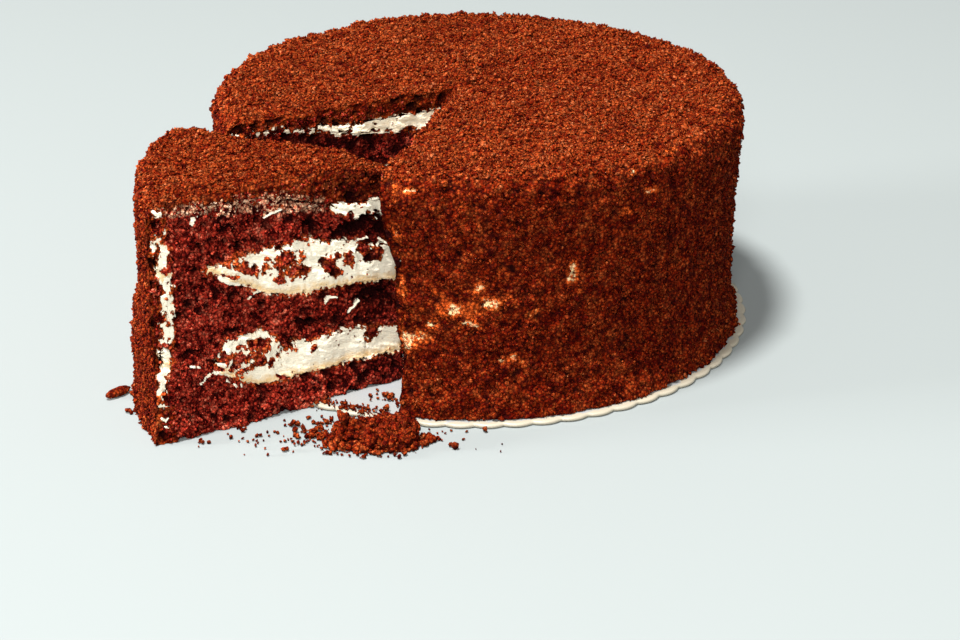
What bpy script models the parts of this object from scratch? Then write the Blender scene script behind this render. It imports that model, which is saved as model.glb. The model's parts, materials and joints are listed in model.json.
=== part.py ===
"""Red velvet layer cake on its scalloped card, with one slice drawn part of the way out.

The origin is the centre of the card's underside and +Z is up. Three sponges, two cream
fillings, the icing and the coat of cake crumbs are separate solids that run right through
the cake. The slice is cut from the same layers, then turned and drawn out of its notch.
"""

import math
import random

import bmesh
import bpy
from mathutils import Matrix, Vector, noise

MM = 0.001
GAP = 0.3 * MM
SHARP_ANGLE = math.radians(40.0)

# Card: a thin disc with a scalloped edge
CARD_RADIUS = 103.0 * MM
CARD_THICKNESS = 1.5 * MM
SCALLOPS = 64
SCALLOP_DEPTH = 1.3 * MM
POINTS_PER_SCALLOP = 3

# Walls: the radii of the sponges, the icing and the crumb coat
SPONGE_RADIUS = 90.0 * MM
ICING_RADIUS = 93.3 * MM
COAT_RADIUS = 96.0 * MM
ICING_RIM = 3.5 * MM
COAT_RIM = 6.5 * MM
ICING_RIM_TURNS = 2
COAT_RIM_TURNS = 3
FLARE_HEIGHT = 20.0 * MM
FLARE_CURVE = 1.6
CAKE_FLARE = 3.8 * MM
SLICE_FLARE = 2.2 * MM
CAKE_FOOT = CARD_THICKNESS + GAP
SLICE_FOOT = 0.0
CAKE_ICING_FOOT = 3.5 * MM
SLICE_ICING_FOOT = 13.0 * MM

# Surfaces between the layers, in millimetres above the foot: the level on the axis, then
# each rise or fall with the fractions of the sponge's radius between which it happens
LOWER_FILLING_BOTTOM = (12.0, (15.0, 0.62, 0.96))
LOWER_FILLING_TOP = (20.0, (3.8, 0.0, 0.2), (8.0, 0.5, 0.64), (-8.6, 0.78, 0.86))
UPPER_FILLING_BOTTOM = (39.3, (3.2, 0.0, 0.45), (16.6, 0.5, 0.92))
UPPER_FILLING_TOP = (52.5, (8.0, 0.0, 0.45), (-1.8, 0.7, 0.88))
CAKE_SPONGE_TOP = (70.7, (9.6, 0.15, 1.0))
CAKE_ICING_TOP = (78.0, (4.3, 0.4, 1.0))
CAKE_COAT_TOP = (85.9,)
SLICE_SPONGE_TOP = (62.0, (5.5, 0.0, 0.3), (11.5, 0.3, 1.0))
SLICE_ICING_TOP = (69.0, (2.0, 0.0, 0.3), (10.5, 0.2, 0.8))
SLICE_COAT_TOP = (78.5, (6.0, 0.0, 0.35))

# How finely the surfaces are divided
LAYER_RINGS = (0.34, 0.6, 0.78, 0.84, 1.0)
FILLING_RINGS = 4
LAYER_WALL_LEVELS = (59.0 * MM, 27.0 * MM)
LEAST_WALL_STEP = 1.0 * MM
COAT_RINGS = 10
COAT_WALL_STEP = 8.2 * MM

# Relief of the crumb coat and of the cut faces
COAT_GRAIN = 1.3 * MM
COAT_GRAIN_SIZE = 5.0 * MM
COAT_WAVE = 1.3 * MM
COAT_WAVE_SIZE = 42.0 * MM
CUT_GRAIN = 1.7 * MM
CUT_GRAIN_SIZE = 8.0 * MM
CUT_STEP = 8.6 * MM

# Notch: where its two walls meet, and the directions in which they run out to the rim
NOTCH_APEX = Vector((-5.8, -0.5, 0.0)) * MM
NOTCH_LEFT_ANGLE = math.radians(-150.8)
NOTCH_RIGHT_ANGLE_LOW = math.radians(-101.3)
NOTCH_RIGHT_ANGLE_HIGH = math.radians(-104.5)
SLICE_FRONT_ANGLE = math.radians(-102.6)
CUT_REACH = 102.0 * MM
CUT_END = 125.0 * MM
CUT_LOW = -6.0 * MM
CUT_HIGH = 104.0 * MM
SLIT_LENGTH = 8.4 * MM
SLIT_WIDTH = 1.4 * MM
CORNER_START = 78.0 * MM
CORNER_END = 96.0 * MM
NOTCH_LEFT_CORNER = 2.4 * MM
NOTCH_RIGHT_CORNER = 0.6 * MM
SLICE_BACK_CORNER = -5.5 * MM
SLICE_FRONT_CORNER = -1.2 * MM

# Cake: how far the upper half has leant towards +X
CAKE_LEAN = 1.4 * MM
CAKE_LEAN_LOW = 35.0 * MM
CAKE_LEAN_HIGH = 90.0 * MM

# Slice: how far it is turned, where its tip stands, and how it has slumped
SLICE_TURN = math.radians(-45.0)
SLICE_TIP = Vector((-25.4, -63.3, 0.0)) * MM
LEAN = 3.5 * MM
LEAN_LOW = 22.0 * MM
LEAN_HIGH = 56.0 * MM
LEAN_FRONT_ANGLE = math.radians(-104.0)
LEAN_BACK_ANGLE = math.radians(-128.0)
FRONT_SPREAD = 2.4 * MM
FRONT_SPREAD_HEIGHT = 14.0 * MM
FRONT_SLUMP = 1.3 * MM
FRONT_SLUMP_WIDTH = 9.0 * MM
BACK_LUMP = 2.4 * MM
BACK_LUMP_RADIUS = 8.0 * MM
BACK_LUMP_AT = Vector((-70.0, -39.5, 0.0)) * MM

# Fallen crumbs: a low heap at the card's edge, and a flake beside the slice. A mound is its
# centre, its radius and its rise, in millimetres.
HEAP_CENTRE = Vector((-32.5, -110.5, 0.0)) * MM
HEAP_SEMI_AXES = (15.5 * MM, 9.0 * MM)
HEAP_RINGS = 5
HEAP_RIM = 0.7 * MM
HEAP_UNEVENNESS = 0.28
HEAP_WAVES = 2.2
HEAP_MOUNDS = ((-24.0, -110.0, 7.5, 6.5), (-43.5, -105.5, 5.0, 4.0), (-34.0, -106.0, 6.0, 3.0))
HEAP_CRUMBS = 13
HEAP_CRUMB_RADII = (1.5 * MM, 2.9 * MM)
HEAP_CRUMB_SHAPE = (1.0, 0.85, 0.75)
HEAP_CRUMB_SINK = 0.2
HEAP_CRUMB_LOWEST = 0.8
LUMP_ROUGHNESS = 0.5
LUMP_WAVES = 1.7
HEAP_SEED = 11
CAKE_CLEARANCE = 101.2 * MM
CLEARANCE_SEGMENTS = 96
FLAKE_CENTRE = Vector((-124.2, -77.2, 1.3)) * MM
FLAKE_SEMI_AXES = (5.6 * MM, 2.1 * MM, 1.5 * MM)
FLAKE_TURN = math.radians(48.0)

COLOURS = {
    "sponge": (0.135, 0.012, 0.008),
    "cream": (0.90, 0.82, 0.62),
    "crumbs": (0.20, 0.034, 0.012),
    "card": (0.74, 0.76, 0.74),
}
ROUGHNESS = {"sponge": 0.9, "cream": 0.45, "crumbs": 0.92, "card": 0.55}


def smoothstep(start, end, value):
    """Rises smoothly from 0 at start to 1 at end."""
    share = min(max((value - start) / (end - start), 0.0), 1.0)
    return share * share * (3.0 - 2.0 * share)


def level(surface, radius):
    """Height above the foot of one of the surfaces listed above, at a distance from the axis."""
    fraction = min(radius / SPONGE_RADIUS, 1.0)
    height, *rises = surface
    for rise, start, end in rises:
        height += rise * smoothstep(start, end, fraction)
    return height * MM


def direction(angle):
    return Vector((math.cos(angle), math.sin(angle), 0.0))


# ---------------------------------------------------------------- surfaces


def square_angle(column, row):
    """Angle of a point of a square grid once each square ring of it is drawn as a circle."""
    if column == 0 and row == 0:
        return 0.0
    if abs(column) >= abs(row):
        return (0.0 if column > 0 else math.pi) + math.pi / 4 * row / column
    return math.copysign(math.pi / 2, row) - math.pi / 4 * column / row


def add_cap(mesh, radii, height):
    """Adds a disc whose ring m has 8 m points at radii[m - 1], and returns its rim.

    Each square of the grid is split along the diagonal that points away from the axis, so
    that surfaces with the same rings have parallel faces.
    """
    count = len(radii)
    places = range(-count, count + 1)
    points = {}
    for column in places:
        for row in places:
            ring = max(abs(column), abs(row))
            radius = radii[ring - 1] if ring else 0.0
            point = direction(square_angle(column, row)) * radius
            point.z = height(radius)
            points[column, row] = mesh.verts.new(point)
    for column in places[:-1]:
        for row in places[:-1]:
            ends = [(column, row), (column + 1, row), (column + 1, row + 1), (column, row + 1)]
            turn = 0 if (column < 0) == (row < 0) else 1
            first, second, third, fourth = [points[place] for place in ends[turn:] + ends[:turn]]
            mesh.faces.new((first, second, third))
            mesh.faces.new((first, third, fourth))
    rim = [place for place in points if max(abs(place[0]), abs(place[1])) == count]
    rim.sort(key=lambda place: square_angle(*place))
    return [points[place] for place in rim]


def add_ring(mesh, count, radius, height):
    """Adds the points of a circle at the angles of a disc's rim of that many rings."""
    ring = []
    for step in range(1, 8 * count + 1):
        point = direction(math.pi * (0.25 * step / count - 0.75)) * radius
        point.z = height
        ring.append(mesh.verts.new(point))
    return ring


def bridge(mesh, fine, coarse):
    """Joins two rings by triangles; the first may have a multiple of the second's points."""
    ratio = len(fine) // len(coarse)
    for step in range(len(coarse)):
        near = coarse[step]
        far = coarse[(step + 1) % len(coarse)]
        start = (step + 1) * ratio - 1
        edge = [fine[(start + part) % len(fine)] for part in range(ratio + 1)]
        for first, second in zip(edge, edge[1:]):
            mesh.faces.new((near, second, first))
        mesh.faces.new((near, far, edge[-1]))


def add_sheet(mesh, radii, height, wall):
    """Adds a disc and the wall that runs down from its rim through (radius, height) stations."""
    rim = add_cap(mesh, radii, height)
    for radius, station in wall:
        ring = add_ring(mesh, len(radii), radius, station)
        bridge(mesh, rim, ring)
        rim = ring
    return rim


def spread(height, foot, flare):
    """How far a wall stands out near its foot."""
    share = max(1.0 - (height - foot) / FLARE_HEIGHT, 0.0)
    return flare * share ** FLARE_CURVE


def rim_curve(radius, rim, top, turns):
    """Stations of the quarter circle by which a top turns down into a wall."""
    stations = []
    for turn in range(1, turns + 1):
        angle = math.pi / 2 * turn / turns
        stations.append((radius - rim + rim * math.sin(angle), top - rim + rim * math.cos(angle)))
    return stations


def coat_wall(top, foot, flare):
    """Stations of the coat's wall: evenly spaced down to a foot that flares outwards."""
    high = top - COAT_RIM
    count = round((high - foot) / COAT_WALL_STEP)
    stations = []
    for step in range(1, count + 1):
        height = high + (foot - high) * step / count
        stations.append((COAT_RADIUS + spread(height, foot, flare), height))
    return stations


# ---------------------------------------------------------------- objects


def add_object(name, mesh, material=None):
    """Turns a mesh under construction into an object, with its faces pointing out."""
    bmesh.ops.recalc_face_normals(mesh, faces=mesh.faces)
    data = bpy.data.meshes.new(name)
    mesh.to_mesh(data)
    mesh.free()
    item = bpy.data.objects.new(name, data)
    bpy.context.scene.collection.objects.link(item)
    if material:
        data.materials.append(add_material(name, material))
        data.shade_smooth()
        data.set_sharp_from_angle(angle=SHARP_ANGLE)
    return item


def add_material(name, finish):
    material = bpy.data.materials.new(name)
    material.use_nodes = True
    shader = material.node_tree.nodes["Principled BSDF"]
    shader.inputs["Base Color"].default_value = (*COLOURS[finish], 1.0)
    shader.inputs["Roughness"].default_value = ROUGHNESS[finish]
    shader.inputs["Metallic"].default_value = 0.0
    return material


def as_cutter(item):
    item.hide_render = True
    item.display_type = "WIRE"
    return item


def cut(item, cutter, operation="DIFFERENCE"):
    boolean = item.modifiers.new(cutter.name, "BOOLEAN")
    boolean.operation = operation
    boolean.object = cutter


def shape_points(mesh, shape):
    for vert in mesh.verts:
        vert.co = shape(vert.co)


def roughen(mesh, points, foot):
    """Moves the points of the crumb coat's outer skin along their normals by its relief."""
    bmesh.ops.recalc_face_normals(mesh, faces=mesh.faces)
    mesh.normal_update()
    moves = []
    for point in points:
        grain = COAT_GRAIN * noise.noise(point.co / COAT_GRAIN_SIZE)
        wave = COAT_WAVE * noise.noise(point.co / COAT_WAVE_SIZE)
        moves.append(point.normal * (grain + wave))
    for point, move in zip(points, moves):
        if point.co.z < foot + GAP:
            move.z = 0.0
        point.co += move


# ---------------------------------------------------------------- layers


class Body:
    """One cut piece of cake: its name, its foot and the surfaces that are its own."""

    def __init__(self, name, foot, icing_foot, tops, flare, shape, skin_shape):
        self.name = name
        self.foot = foot
        self.icing_foot = foot + icing_foot
        self.sponge_top, self.icing_top, self.coat_top = tops
        self.flare = flare
        self.shape = shape
        self.skin_shape = skin_shape

    def height(self, surface, lift=0.0):
        """Function that gives a surface's height in the cake's frame at a radius."""
        return lambda radius: self.foot + level(surface, radius) + lift

    def wall(self, radius, high, low):
        """Stations of an upright wall: the common levels that lie between two heights."""
        levels = [self.foot + station for station in LAYER_WALL_LEVELS]
        low += LEAST_WALL_STEP
        high -= LEAST_WALL_STEP
        return [(radius, station) for station in levels if low < station < high]

    def finish(self, part, mesh, material):
        shape_points(mesh, self.shape)
        return add_object(f"{self.name}_{part}", mesh, material)


def layer_radii(count, last=SPONGE_RADIUS):
    radii = [fraction * SPONGE_RADIUS for fraction in LAYER_RINGS[:count]]
    if count == len(LAYER_RINGS):
        radii[-1] = last
    return radii


def add_layer(body, part, material, top, bottom, rings):
    """A sponge or a filling: a disc between two surfaces, with an upright wall.

    Where it stands on its foot its underside is one flat face.
    """
    radii = layer_radii(rings)
    wall = body.wall(radii[-1], top(radii[-1]), bottom(radii[-1]))
    mesh = bmesh.new()
    upper = add_sheet(mesh, radii, top, wall)
    if bottom(0.0) > body.foot:
        lower = add_sheet(mesh, radii, bottom, [])
    else:
        lower = add_ring(mesh, rings, radii[-1], body.foot)
        mesh.faces.new(lower)
    bridge(mesh, upper, lower)
    return body.finish(part, mesh, material)


def above_filling(body, filling_top, sponge_below):
    """Underside of a sponge: over the filling as far as it reaches, then over the sponge."""
    edge = LAYER_RINGS[FILLING_RINGS - 1] * SPONGE_RADIUS
    over_filling = body.height(filling_top, 2 * GAP)
    over_sponge = body.height(sponge_below, GAP)
    return lambda radius: over_filling(radius) if radius < edge + GAP else over_sponge(radius)


def add_sponges(body):
    rings = len(LAYER_RINGS)
    return [
        add_layer(body, "sponge_bottom", "sponge", body.height(LOWER_FILLING_BOTTOM),
                  lambda radius: body.foot, rings),
        add_layer(body, "sponge_middle", "sponge", body.height(UPPER_FILLING_BOTTOM),
                  above_filling(body, LOWER_FILLING_TOP, LOWER_FILLING_BOTTOM), rings),
        add_layer(body, "sponge_top", "sponge", body.height(body.sponge_top),
                  above_filling(body, UPPER_FILLING_TOP, UPPER_FILLING_BOTTOM), rings),
    ]


def add_fillings(body):
    return [
        add_layer(body, "filling_lower", "cream", body.height(LOWER_FILLING_TOP, GAP),
                  body.height(LOWER_FILLING_BOTTOM, GAP), FILLING_RINGS),
        add_layer(body, "filling_upper", "cream", body.height(UPPER_FILLING_TOP, GAP),
                  body.height(UPPER_FILLING_BOTTOM, GAP), FILLING_RINGS),
    ]


def icing_sheet(body, grow):
    """Outside of the icing, grown by a gap where it becomes the inside of the crumb coat."""
    height = body.height(body.icing_top, grow)
    radii = layer_radii(len(LAYER_RINGS), ICING_RADIUS - ICING_RIM + grow)
    radius = ICING_RADIUS + grow
    foot = body.icing_foot - grow
    wall = rim_curve(radius, ICING_RIM, height(radii[-1]), ICING_RIM_TURNS)
    wall += body.wall(radius, wall[-1][1], foot) + [(radius, foot)]
    return radii, height, wall


def add_icing(body):
    """A cap of icing over the sponges and down their walls."""
    mesh = bmesh.new()
    outer = add_sheet(mesh, *icing_sheet(body, 0.0))
    height = body.height(body.sponge_top, GAP)
    radii = layer_radii(len(LAYER_RINGS), SPONGE_RADIUS + GAP)
    wall = body.wall(radii[-1], height(radii[-1]), body.icing_foot)
    wall.append((radii[-1], body.icing_foot))
    inner = add_sheet(mesh, radii, height, wall)
    bridge(mesh, outer, inner)
    return body.finish("icing", mesh, "cream")


def add_coat(body):
    """The coat of crumbs over the icing, which meets the sponge below the icing's foot."""
    mesh = bmesh.new()
    height = body.height(body.coat_top)
    flat = COAT_RADIUS - COAT_RIM
    radii = [flat * (ring + 1) / COAT_RINGS for ring in range(COAT_RINGS)]
    wall = rim_curve(COAT_RADIUS, COAT_RIM, height(flat), COAT_RIM_TURNS)
    wall += coat_wall(height(flat), body.foot, body.flare)
    outer = add_sheet(mesh, radii, height, wall)
    skin = list(mesh.verts)
    radii, height, wall = icing_sheet(body, GAP)
    wall.append((SPONGE_RADIUS + GAP, wall[-1][1]))
    wall.append((SPONGE_RADIUS + GAP, body.foot))
    inner = add_sheet(mesh, radii, height, wall)
    bridge(mesh, outer, inner)
    roughen(mesh, skin, body.foot)
    for point in skin:
        point.co.z += body.skin_shape(point.co)
    return body.finish("crumb_coat", mesh, "crumbs")


def add_body(body):
    return add_sponges(body) + add_fillings(body) + [add_icing(body), add_coat(body)]


# ---------------------------------------------------------------- cuts


def cut_wall(start, angle, height, side, corner, foot_spread):
    """Points of one wall of a wedge at a height, from the apex out, with its torn relief.

    The side is +1 where the wedge lies clockwise of the wall and -1 where it lies
    anticlockwise. A positive corner widens the wedge towards the rim, and a positive foot
    spread widens it near the ground.
    """
    along = direction(angle)
    outward = Vector((-along.y, along.x, 0.0)) * side
    count = round(CUT_REACH / CUT_STEP)
    foot_offset = foot_spread * (1.0 - smoothstep(0.0, FRONT_SPREAD_HEIGHT, height))
    points = []
    for step in range(1, count + 1):
        distance = CUT_REACH * step / count
        seat = Vector((distance, height, side * CUT_REACH)) / CUT_GRAIN_SIZE
        offset = CUT_GRAIN * noise.noise(seat)
        offset += corner * smoothstep(CORNER_START, CORNER_END, distance)
        offset += foot_offset
        points.append(start + along * distance + outward * offset)
    points.append(start + along * CUT_END + outward * corner)
    return points


def add_wedge(name, right_angles, corners, foot_spread, slit):
    """A closed wedge between two upright torn walls, with a knife slit past its apex."""
    mesh = bmesh.new()
    count = round((CUT_HIGH - CUT_LOW) / CUT_STEP)
    below = None
    for step in range(count + 1):
        share = step / count
        height = CUT_LOW + (CUT_HIGH - CUT_LOW) * share
        right_angle = right_angles[0] + (right_angles[1] - right_angles[0]) * share
        across = direction(right_angle + math.pi / 2) * -slit
        right = cut_wall(NOTCH_APEX, right_angle, height, 1, corners[0], foot_spread)
        left = cut_wall(NOTCH_APEX + across, NOTCH_LEFT_ANGLE, height, -1, corners[1], 0.0)
        middle = [NOTCH_APEX]
        if slit:
            slit_end = NOTCH_APEX - direction(right_angle) * SLIT_LENGTH
            middle = [NOTCH_APEX, slit_end, NOTCH_APEX + across]
        outline = right[::-1] + middle + left
        ring = [mesh.verts.new((point.x, point.y, height)) for point in outline]
        if below:
            bridge(mesh, ring, below)
        else:
            mesh.faces.new(ring)
        below = ring
    mesh.faces.new(below)
    return as_cutter(add_object(name, mesh))


def add_cylinder(name, radius, low, high):
    mesh = bmesh.new()
    place = Matrix.Translation((0.0, 0.0, (low + high) / 2))
    bmesh.ops.create_cone(mesh, cap_ends=True, segments=CLEARANCE_SEGMENTS, radius1=radius,
                          radius2=radius, depth=high - low, matrix=place)
    return as_cutter(add_object(name, mesh))


# ---------------------------------------------------------------- how each body leans


def slice_shape(point):
    """Leans the slice's wall inwards above its foot, away from its front corner."""
    radius = math.hypot(point.x, point.y)
    if radius < GAP:
        return point
    angle = math.atan2(point.y, point.x)
    round_the_wall = smoothstep(LEAN_FRONT_ANGLE, LEAN_BACK_ANGLE, angle)
    up_the_wall = smoothstep(LEAN_LOW, LEAN_HIGH, point.z)
    move = LEAN * round_the_wall * up_the_wall * (radius / COAT_RADIUS) ** 4
    scale = 1.0 - move / radius
    return Vector((point.x * scale, point.y * scale, point.z))


def slice_skin(point):
    """Lowers the slice's top edge along its front face, and raises a lump on its back edge."""
    top = smoothstep(SLICE_COAT_TOP[0] * MM - 2 * COAT_RIM, SLICE_COAT_TOP[0] * MM, point.z)
    front = direction(SLICE_FRONT_ANGLE)
    reach = point - NOTCH_APEX
    from_front = abs(front.x * reach.y - front.y * reach.x)
    slump = FRONT_SLUMP * (1.0 - smoothstep(0.0, FRONT_SLUMP_WIDTH, from_front))
    away = math.hypot(point.x - BACK_LUMP_AT.x, point.y - BACK_LUMP_AT.y)
    lump = BACK_LUMP * math.exp(-((away / BACK_LUMP_RADIUS) ** 2))
    return top * (lump - slump)


def cake_shape(point):
    """Leans the upper half of the cake towards +X."""
    lean = CAKE_LEAN * smoothstep(CAKE_LEAN_LOW, CAKE_LEAN_HIGH, point.z)
    return Vector((point.x + lean, point.y, point.z))


def cake_skin(point):
    return 0.0


# ---------------------------------------------------------------- card and fallen crumbs


def add_card():
    """A disc whose edge is a row of shallow arcs that meet in cusps."""
    mesh = bmesh.new()
    count = SCALLOPS * POINTS_PER_SCALLOP
    rims = []
    for height in (0.0, CARD_THICKNESS):
        rim = []
        for step in range(count):
            across = (step % POINTS_PER_SCALLOP) / POINTS_PER_SCALLOP
            radius = CARD_RADIUS - SCALLOP_DEPTH * (1.0 - 2.0 * across) ** 2
            point = direction(2.0 * math.pi * step / count) * radius
            rim.append(mesh.verts.new((point.x, point.y, height)))
        mesh.faces.new(rim)
        rims.append(rim)
    bridge(mesh, *rims)
    return add_object("cake_card", mesh, "card")


def torn_lump(mesh, centre, semi_axes, turn, detail):
    """A rough lump of crumb: a ball of triangles whose points move in and out.

    It stands on the ground: what would reach below it is pressed flat.
    """
    place = Matrix.Translation(centre) @ Matrix.Rotation(turn, 4, "Z")
    lump = bmesh.ops.create_icosphere(mesh, subdivisions=detail, radius=1.0)
    for vert in lump["verts"]:
        seat = vert.co * LUMP_WAVES + centre / COAT_GRAIN_SIZE
        vert.co *= 1.0 + LUMP_ROUGHNESS * noise.noise(seat)
        scaled = [coordinate * axis for coordinate, axis in zip(vert.co, semi_axes)]
        vert.co = place @ Vector(scaled)
        vert.co.z = max(vert.co.z, 0.0)


def heap_height(point):
    """Height of the heap: the sum of its mounds, each a bell."""
    height = HEAP_RIM
    for x, y, radius, rise in HEAP_MOUNDS:
        away = math.hypot(point.x - x * MM, point.y - y * MM)
        height += rise * MM * math.exp(-((away / (radius * MM)) ** 2))
    return height


def add_heap_core():
    mesh = bmesh.new()
    radii = [(ring + 1) / HEAP_RINGS for ring in range(HEAP_RINGS)]
    rim = add_sheet(mesh, radii, lambda radius: 0.0, [])
    top = list(mesh.verts)
    foot = [mesh.verts.new(vert.co) for vert in rim]
    bridge(mesh, rim, foot)
    mesh.faces.new(foot)
    for vert in mesh.verts:
        uneven = 1.0 + HEAP_UNEVENNESS * noise.noise(vert.co * HEAP_WAVES)
        vert.co.x = HEAP_CENTRE.x + vert.co.x * HEAP_SEMI_AXES[0] * uneven
        vert.co.y = HEAP_CENTRE.y + vert.co.y * HEAP_SEMI_AXES[1] * uneven
    for vert in top:
        vert.co.z = heap_height(vert.co)
    return add_object("fallen_crumbs", mesh, "crumbs")


def add_heap_crumbs():
    """Crumbs spread over the heap by the golden angle, half sunk in it."""
    draw = random.Random(HEAP_SEED)
    crumbs = bpy.data.collections.new("heap_crumbs")
    bpy.context.scene.collection.children.link(crumbs)
    for number in range(HEAP_CRUMBS):
        angle = number * math.pi * (3.0 - math.sqrt(5.0))
        reach = math.sqrt((number + 0.5) / HEAP_CRUMBS)
        centre = Vector(HEAP_CENTRE)
        centre.x += HEAP_SEMI_AXES[0] * reach * math.cos(angle)
        centre.y += HEAP_SEMI_AXES[1] * reach * math.sin(angle)
        radius = draw.uniform(*HEAP_CRUMB_RADII)
        lowest = HEAP_CRUMB_LOWEST * radius
        centre.z = max(heap_height(centre) - HEAP_CRUMB_SINK * radius, lowest)
        semi_axes = [share * radius for share in HEAP_CRUMB_SHAPE]
        mesh = bmesh.new()
        torn_lump(mesh, centre, semi_axes, angle, 1)
        item = add_object(f"crumb_{number}", mesh)
        bpy.context.scene.collection.objects.unlink(item)
        crumbs.objects.link(item)
    return crumbs


def apply_modifiers(item):
    shaped = item.evaluated_get(bpy.context.evaluated_depsgraph_get())
    item.data = bpy.data.meshes.new_from_object(shaped)
    item.modifiers.clear()


def add_fallen_crumbs(card_clearance, cake_clearance):
    heap = add_heap_core()
    crumbs = add_heap_crumbs()
    union = heap.modifiers.new("crumbs", "BOOLEAN")
    union.operation = "UNION"
    union.operand_type = "COLLECTION"
    union.collection = crumbs
    apply_modifiers(heap)
    for item in list(crumbs.objects):
        bpy.data.objects.remove(item)
    bpy.data.collections.remove(crumbs)
    cut(heap, card_clearance)
    cut(heap, cake_clearance)
    return heap


def add_flake():
    mesh = bmesh.new()
    torn_lump(mesh, FLAKE_CENTRE, FLAKE_SEMI_AXES, FLAKE_TURN, 2)
    return add_object("fallen_flake", mesh, "crumbs")


# ---------------------------------------------------------------- the whole


def clear_scene():
    for item in list(bpy.data.objects):
        bpy.data.objects.remove(item)


def add_cake():
    tops = (CAKE_SPONGE_TOP, CAKE_ICING_TOP, CAKE_COAT_TOP)
    body = Body("cake", CAKE_FOOT, CAKE_ICING_FOOT, tops, CAKE_FLARE, cake_shape, cake_skin)
    notch = add_wedge("notch", (NOTCH_RIGHT_ANGLE_LOW, NOTCH_RIGHT_ANGLE_HIGH),
                      (NOTCH_RIGHT_CORNER, NOTCH_LEFT_CORNER), 0.0, SLIT_WIDTH)
    for item in add_body(body):
        cut(item, notch)


def add_slice(card_clearance):
    tops = (SLICE_SPONGE_TOP, SLICE_ICING_TOP, SLICE_COAT_TOP)
    body = Body("slice", SLICE_FOOT, SLICE_ICING_FOOT, tops, SLICE_FLARE, slice_shape,
                slice_skin)
    wedge = add_wedge("slice_wedge", (SLICE_FRONT_ANGLE, SLICE_FRONT_ANGLE),
                      (SLICE_FRONT_CORNER, SLICE_BACK_CORNER), FRONT_SPREAD, 0.0)
    tip = bpy.data.objects.new("slice_tip", None)
    bpy.context.scene.collection.objects.link(tip)
    tip.location = SLICE_TIP
    tip.rotation_euler.z = SLICE_TURN
    items = add_body(body)
    for item in items:
        cut(item, wedge, "INTERSECT")
    for item in items + [wedge]:
        item.parent = tip
        item.location = -NOTCH_APEX
    for item in items:
        if item.name in ("slice_sponge_bottom", "slice_crumb_coat"):
            cut(item, card_clearance)


def main():
    clear_scene()
    card_clearance = add_cylinder("card_clearance", CARD_RADIUS + GAP, CUT_LOW, CAKE_FOOT)
    cake_clearance = add_cylinder("cake_clearance", CAKE_CLEARANCE, CUT_LOW, CUT_HIGH)
    add_card()
    add_cake()
    add_slice(card_clearance)
    add_fallen_crumbs(card_clearance, cake_clearance)
    add_flake()


main()
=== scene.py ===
"""Dresses the red velvet cake: torn crumb, cream, the coat of crumbs, its card and the stage.

Every surface is a function of two parameters, worked out as whole arrays. The cake and its slice
are cut from one set of layers, so both read the same levels, and what lies on a cut face is one
function of the distance out from the apex and the height, whichever layer shows there.
"""

import json
import math

import bpy
import numpy as np
from mathutils import Matrix, Vector


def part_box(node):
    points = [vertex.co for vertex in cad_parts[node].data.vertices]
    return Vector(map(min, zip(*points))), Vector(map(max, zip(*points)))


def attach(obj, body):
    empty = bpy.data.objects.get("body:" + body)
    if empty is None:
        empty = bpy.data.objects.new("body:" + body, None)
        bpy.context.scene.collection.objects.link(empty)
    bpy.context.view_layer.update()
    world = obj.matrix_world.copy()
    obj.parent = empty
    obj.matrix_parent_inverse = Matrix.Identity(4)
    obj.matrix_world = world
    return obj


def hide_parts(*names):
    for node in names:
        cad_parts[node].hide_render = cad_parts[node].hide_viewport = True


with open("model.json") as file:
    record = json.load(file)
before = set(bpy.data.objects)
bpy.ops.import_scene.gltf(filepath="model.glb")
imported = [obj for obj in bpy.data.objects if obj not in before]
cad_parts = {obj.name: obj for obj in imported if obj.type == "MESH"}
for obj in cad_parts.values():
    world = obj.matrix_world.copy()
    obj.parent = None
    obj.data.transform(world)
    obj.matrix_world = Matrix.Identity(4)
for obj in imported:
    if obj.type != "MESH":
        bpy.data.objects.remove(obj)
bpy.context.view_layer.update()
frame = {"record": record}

bl_info = {
    "name": "Red velvet cake",
    "version": (1, 0, 0),
    "blender": (4, 5, 0),
    "location": "View3D > Sidebar > Cake",
    "description": "Dresses a layer cake and its slice in torn crumb, cream and cake crumbs",
    "category": "Add Mesh",
}

MM = 0.001
GAP = 0.3 * MM
WELD = 0.001 * MM

# Walls of the layers, as the solids have them
SPONGE_RADIUS = 90.0 * MM
FILLING_RADIUS = 75.6 * MM
ICING_RADIUS = 93.3 * MM
COAT_RADIUS = 96.0 * MM
SPONGE_RIM = 0.3 * MM
ICING_RIM = 3.5 * MM
COAT_RIM = 6.5 * MM
FLARE_HEIGHT = 20.0 * MM
FLARE_CURVE = 1.6

# Surfaces between the layers, in millimetres above the foot: the level on the axis, then each
# rise or fall with the shares of the sponge's radius between which it happens
LOWER_FILLING_BOTTOM = (12.0, (15.0, 0.62, 0.96))
LOWER_FILLING_TOP = (20.0, (3.8, 0.0, 0.2), (8.0, 0.5, 0.64), (-8.6, 0.78, 0.86))
UPPER_FILLING_BOTTOM = (39.3, (3.2, 0.0, 0.45), (16.6, 0.5, 0.92))
UPPER_FILLING_TOP = (52.5, (8.0, 0.0, 0.45), (-1.8, 0.7, 0.88))
CAKE_TOPS = ((70.7, (9.6, 0.15, 1.0)), (78.0, (4.3, 0.4, 1.0)), (85.9,))
SLICE_TOPS = (
    (62.0, (5.5, 0.0, 0.3), (11.5, 0.3, 1.0)),
    (69.0, (2.0, 0.0, 0.3), (10.5, 0.2, 0.8)),
    (78.5, (6.0, 0.0, 0.35)),
)

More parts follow.
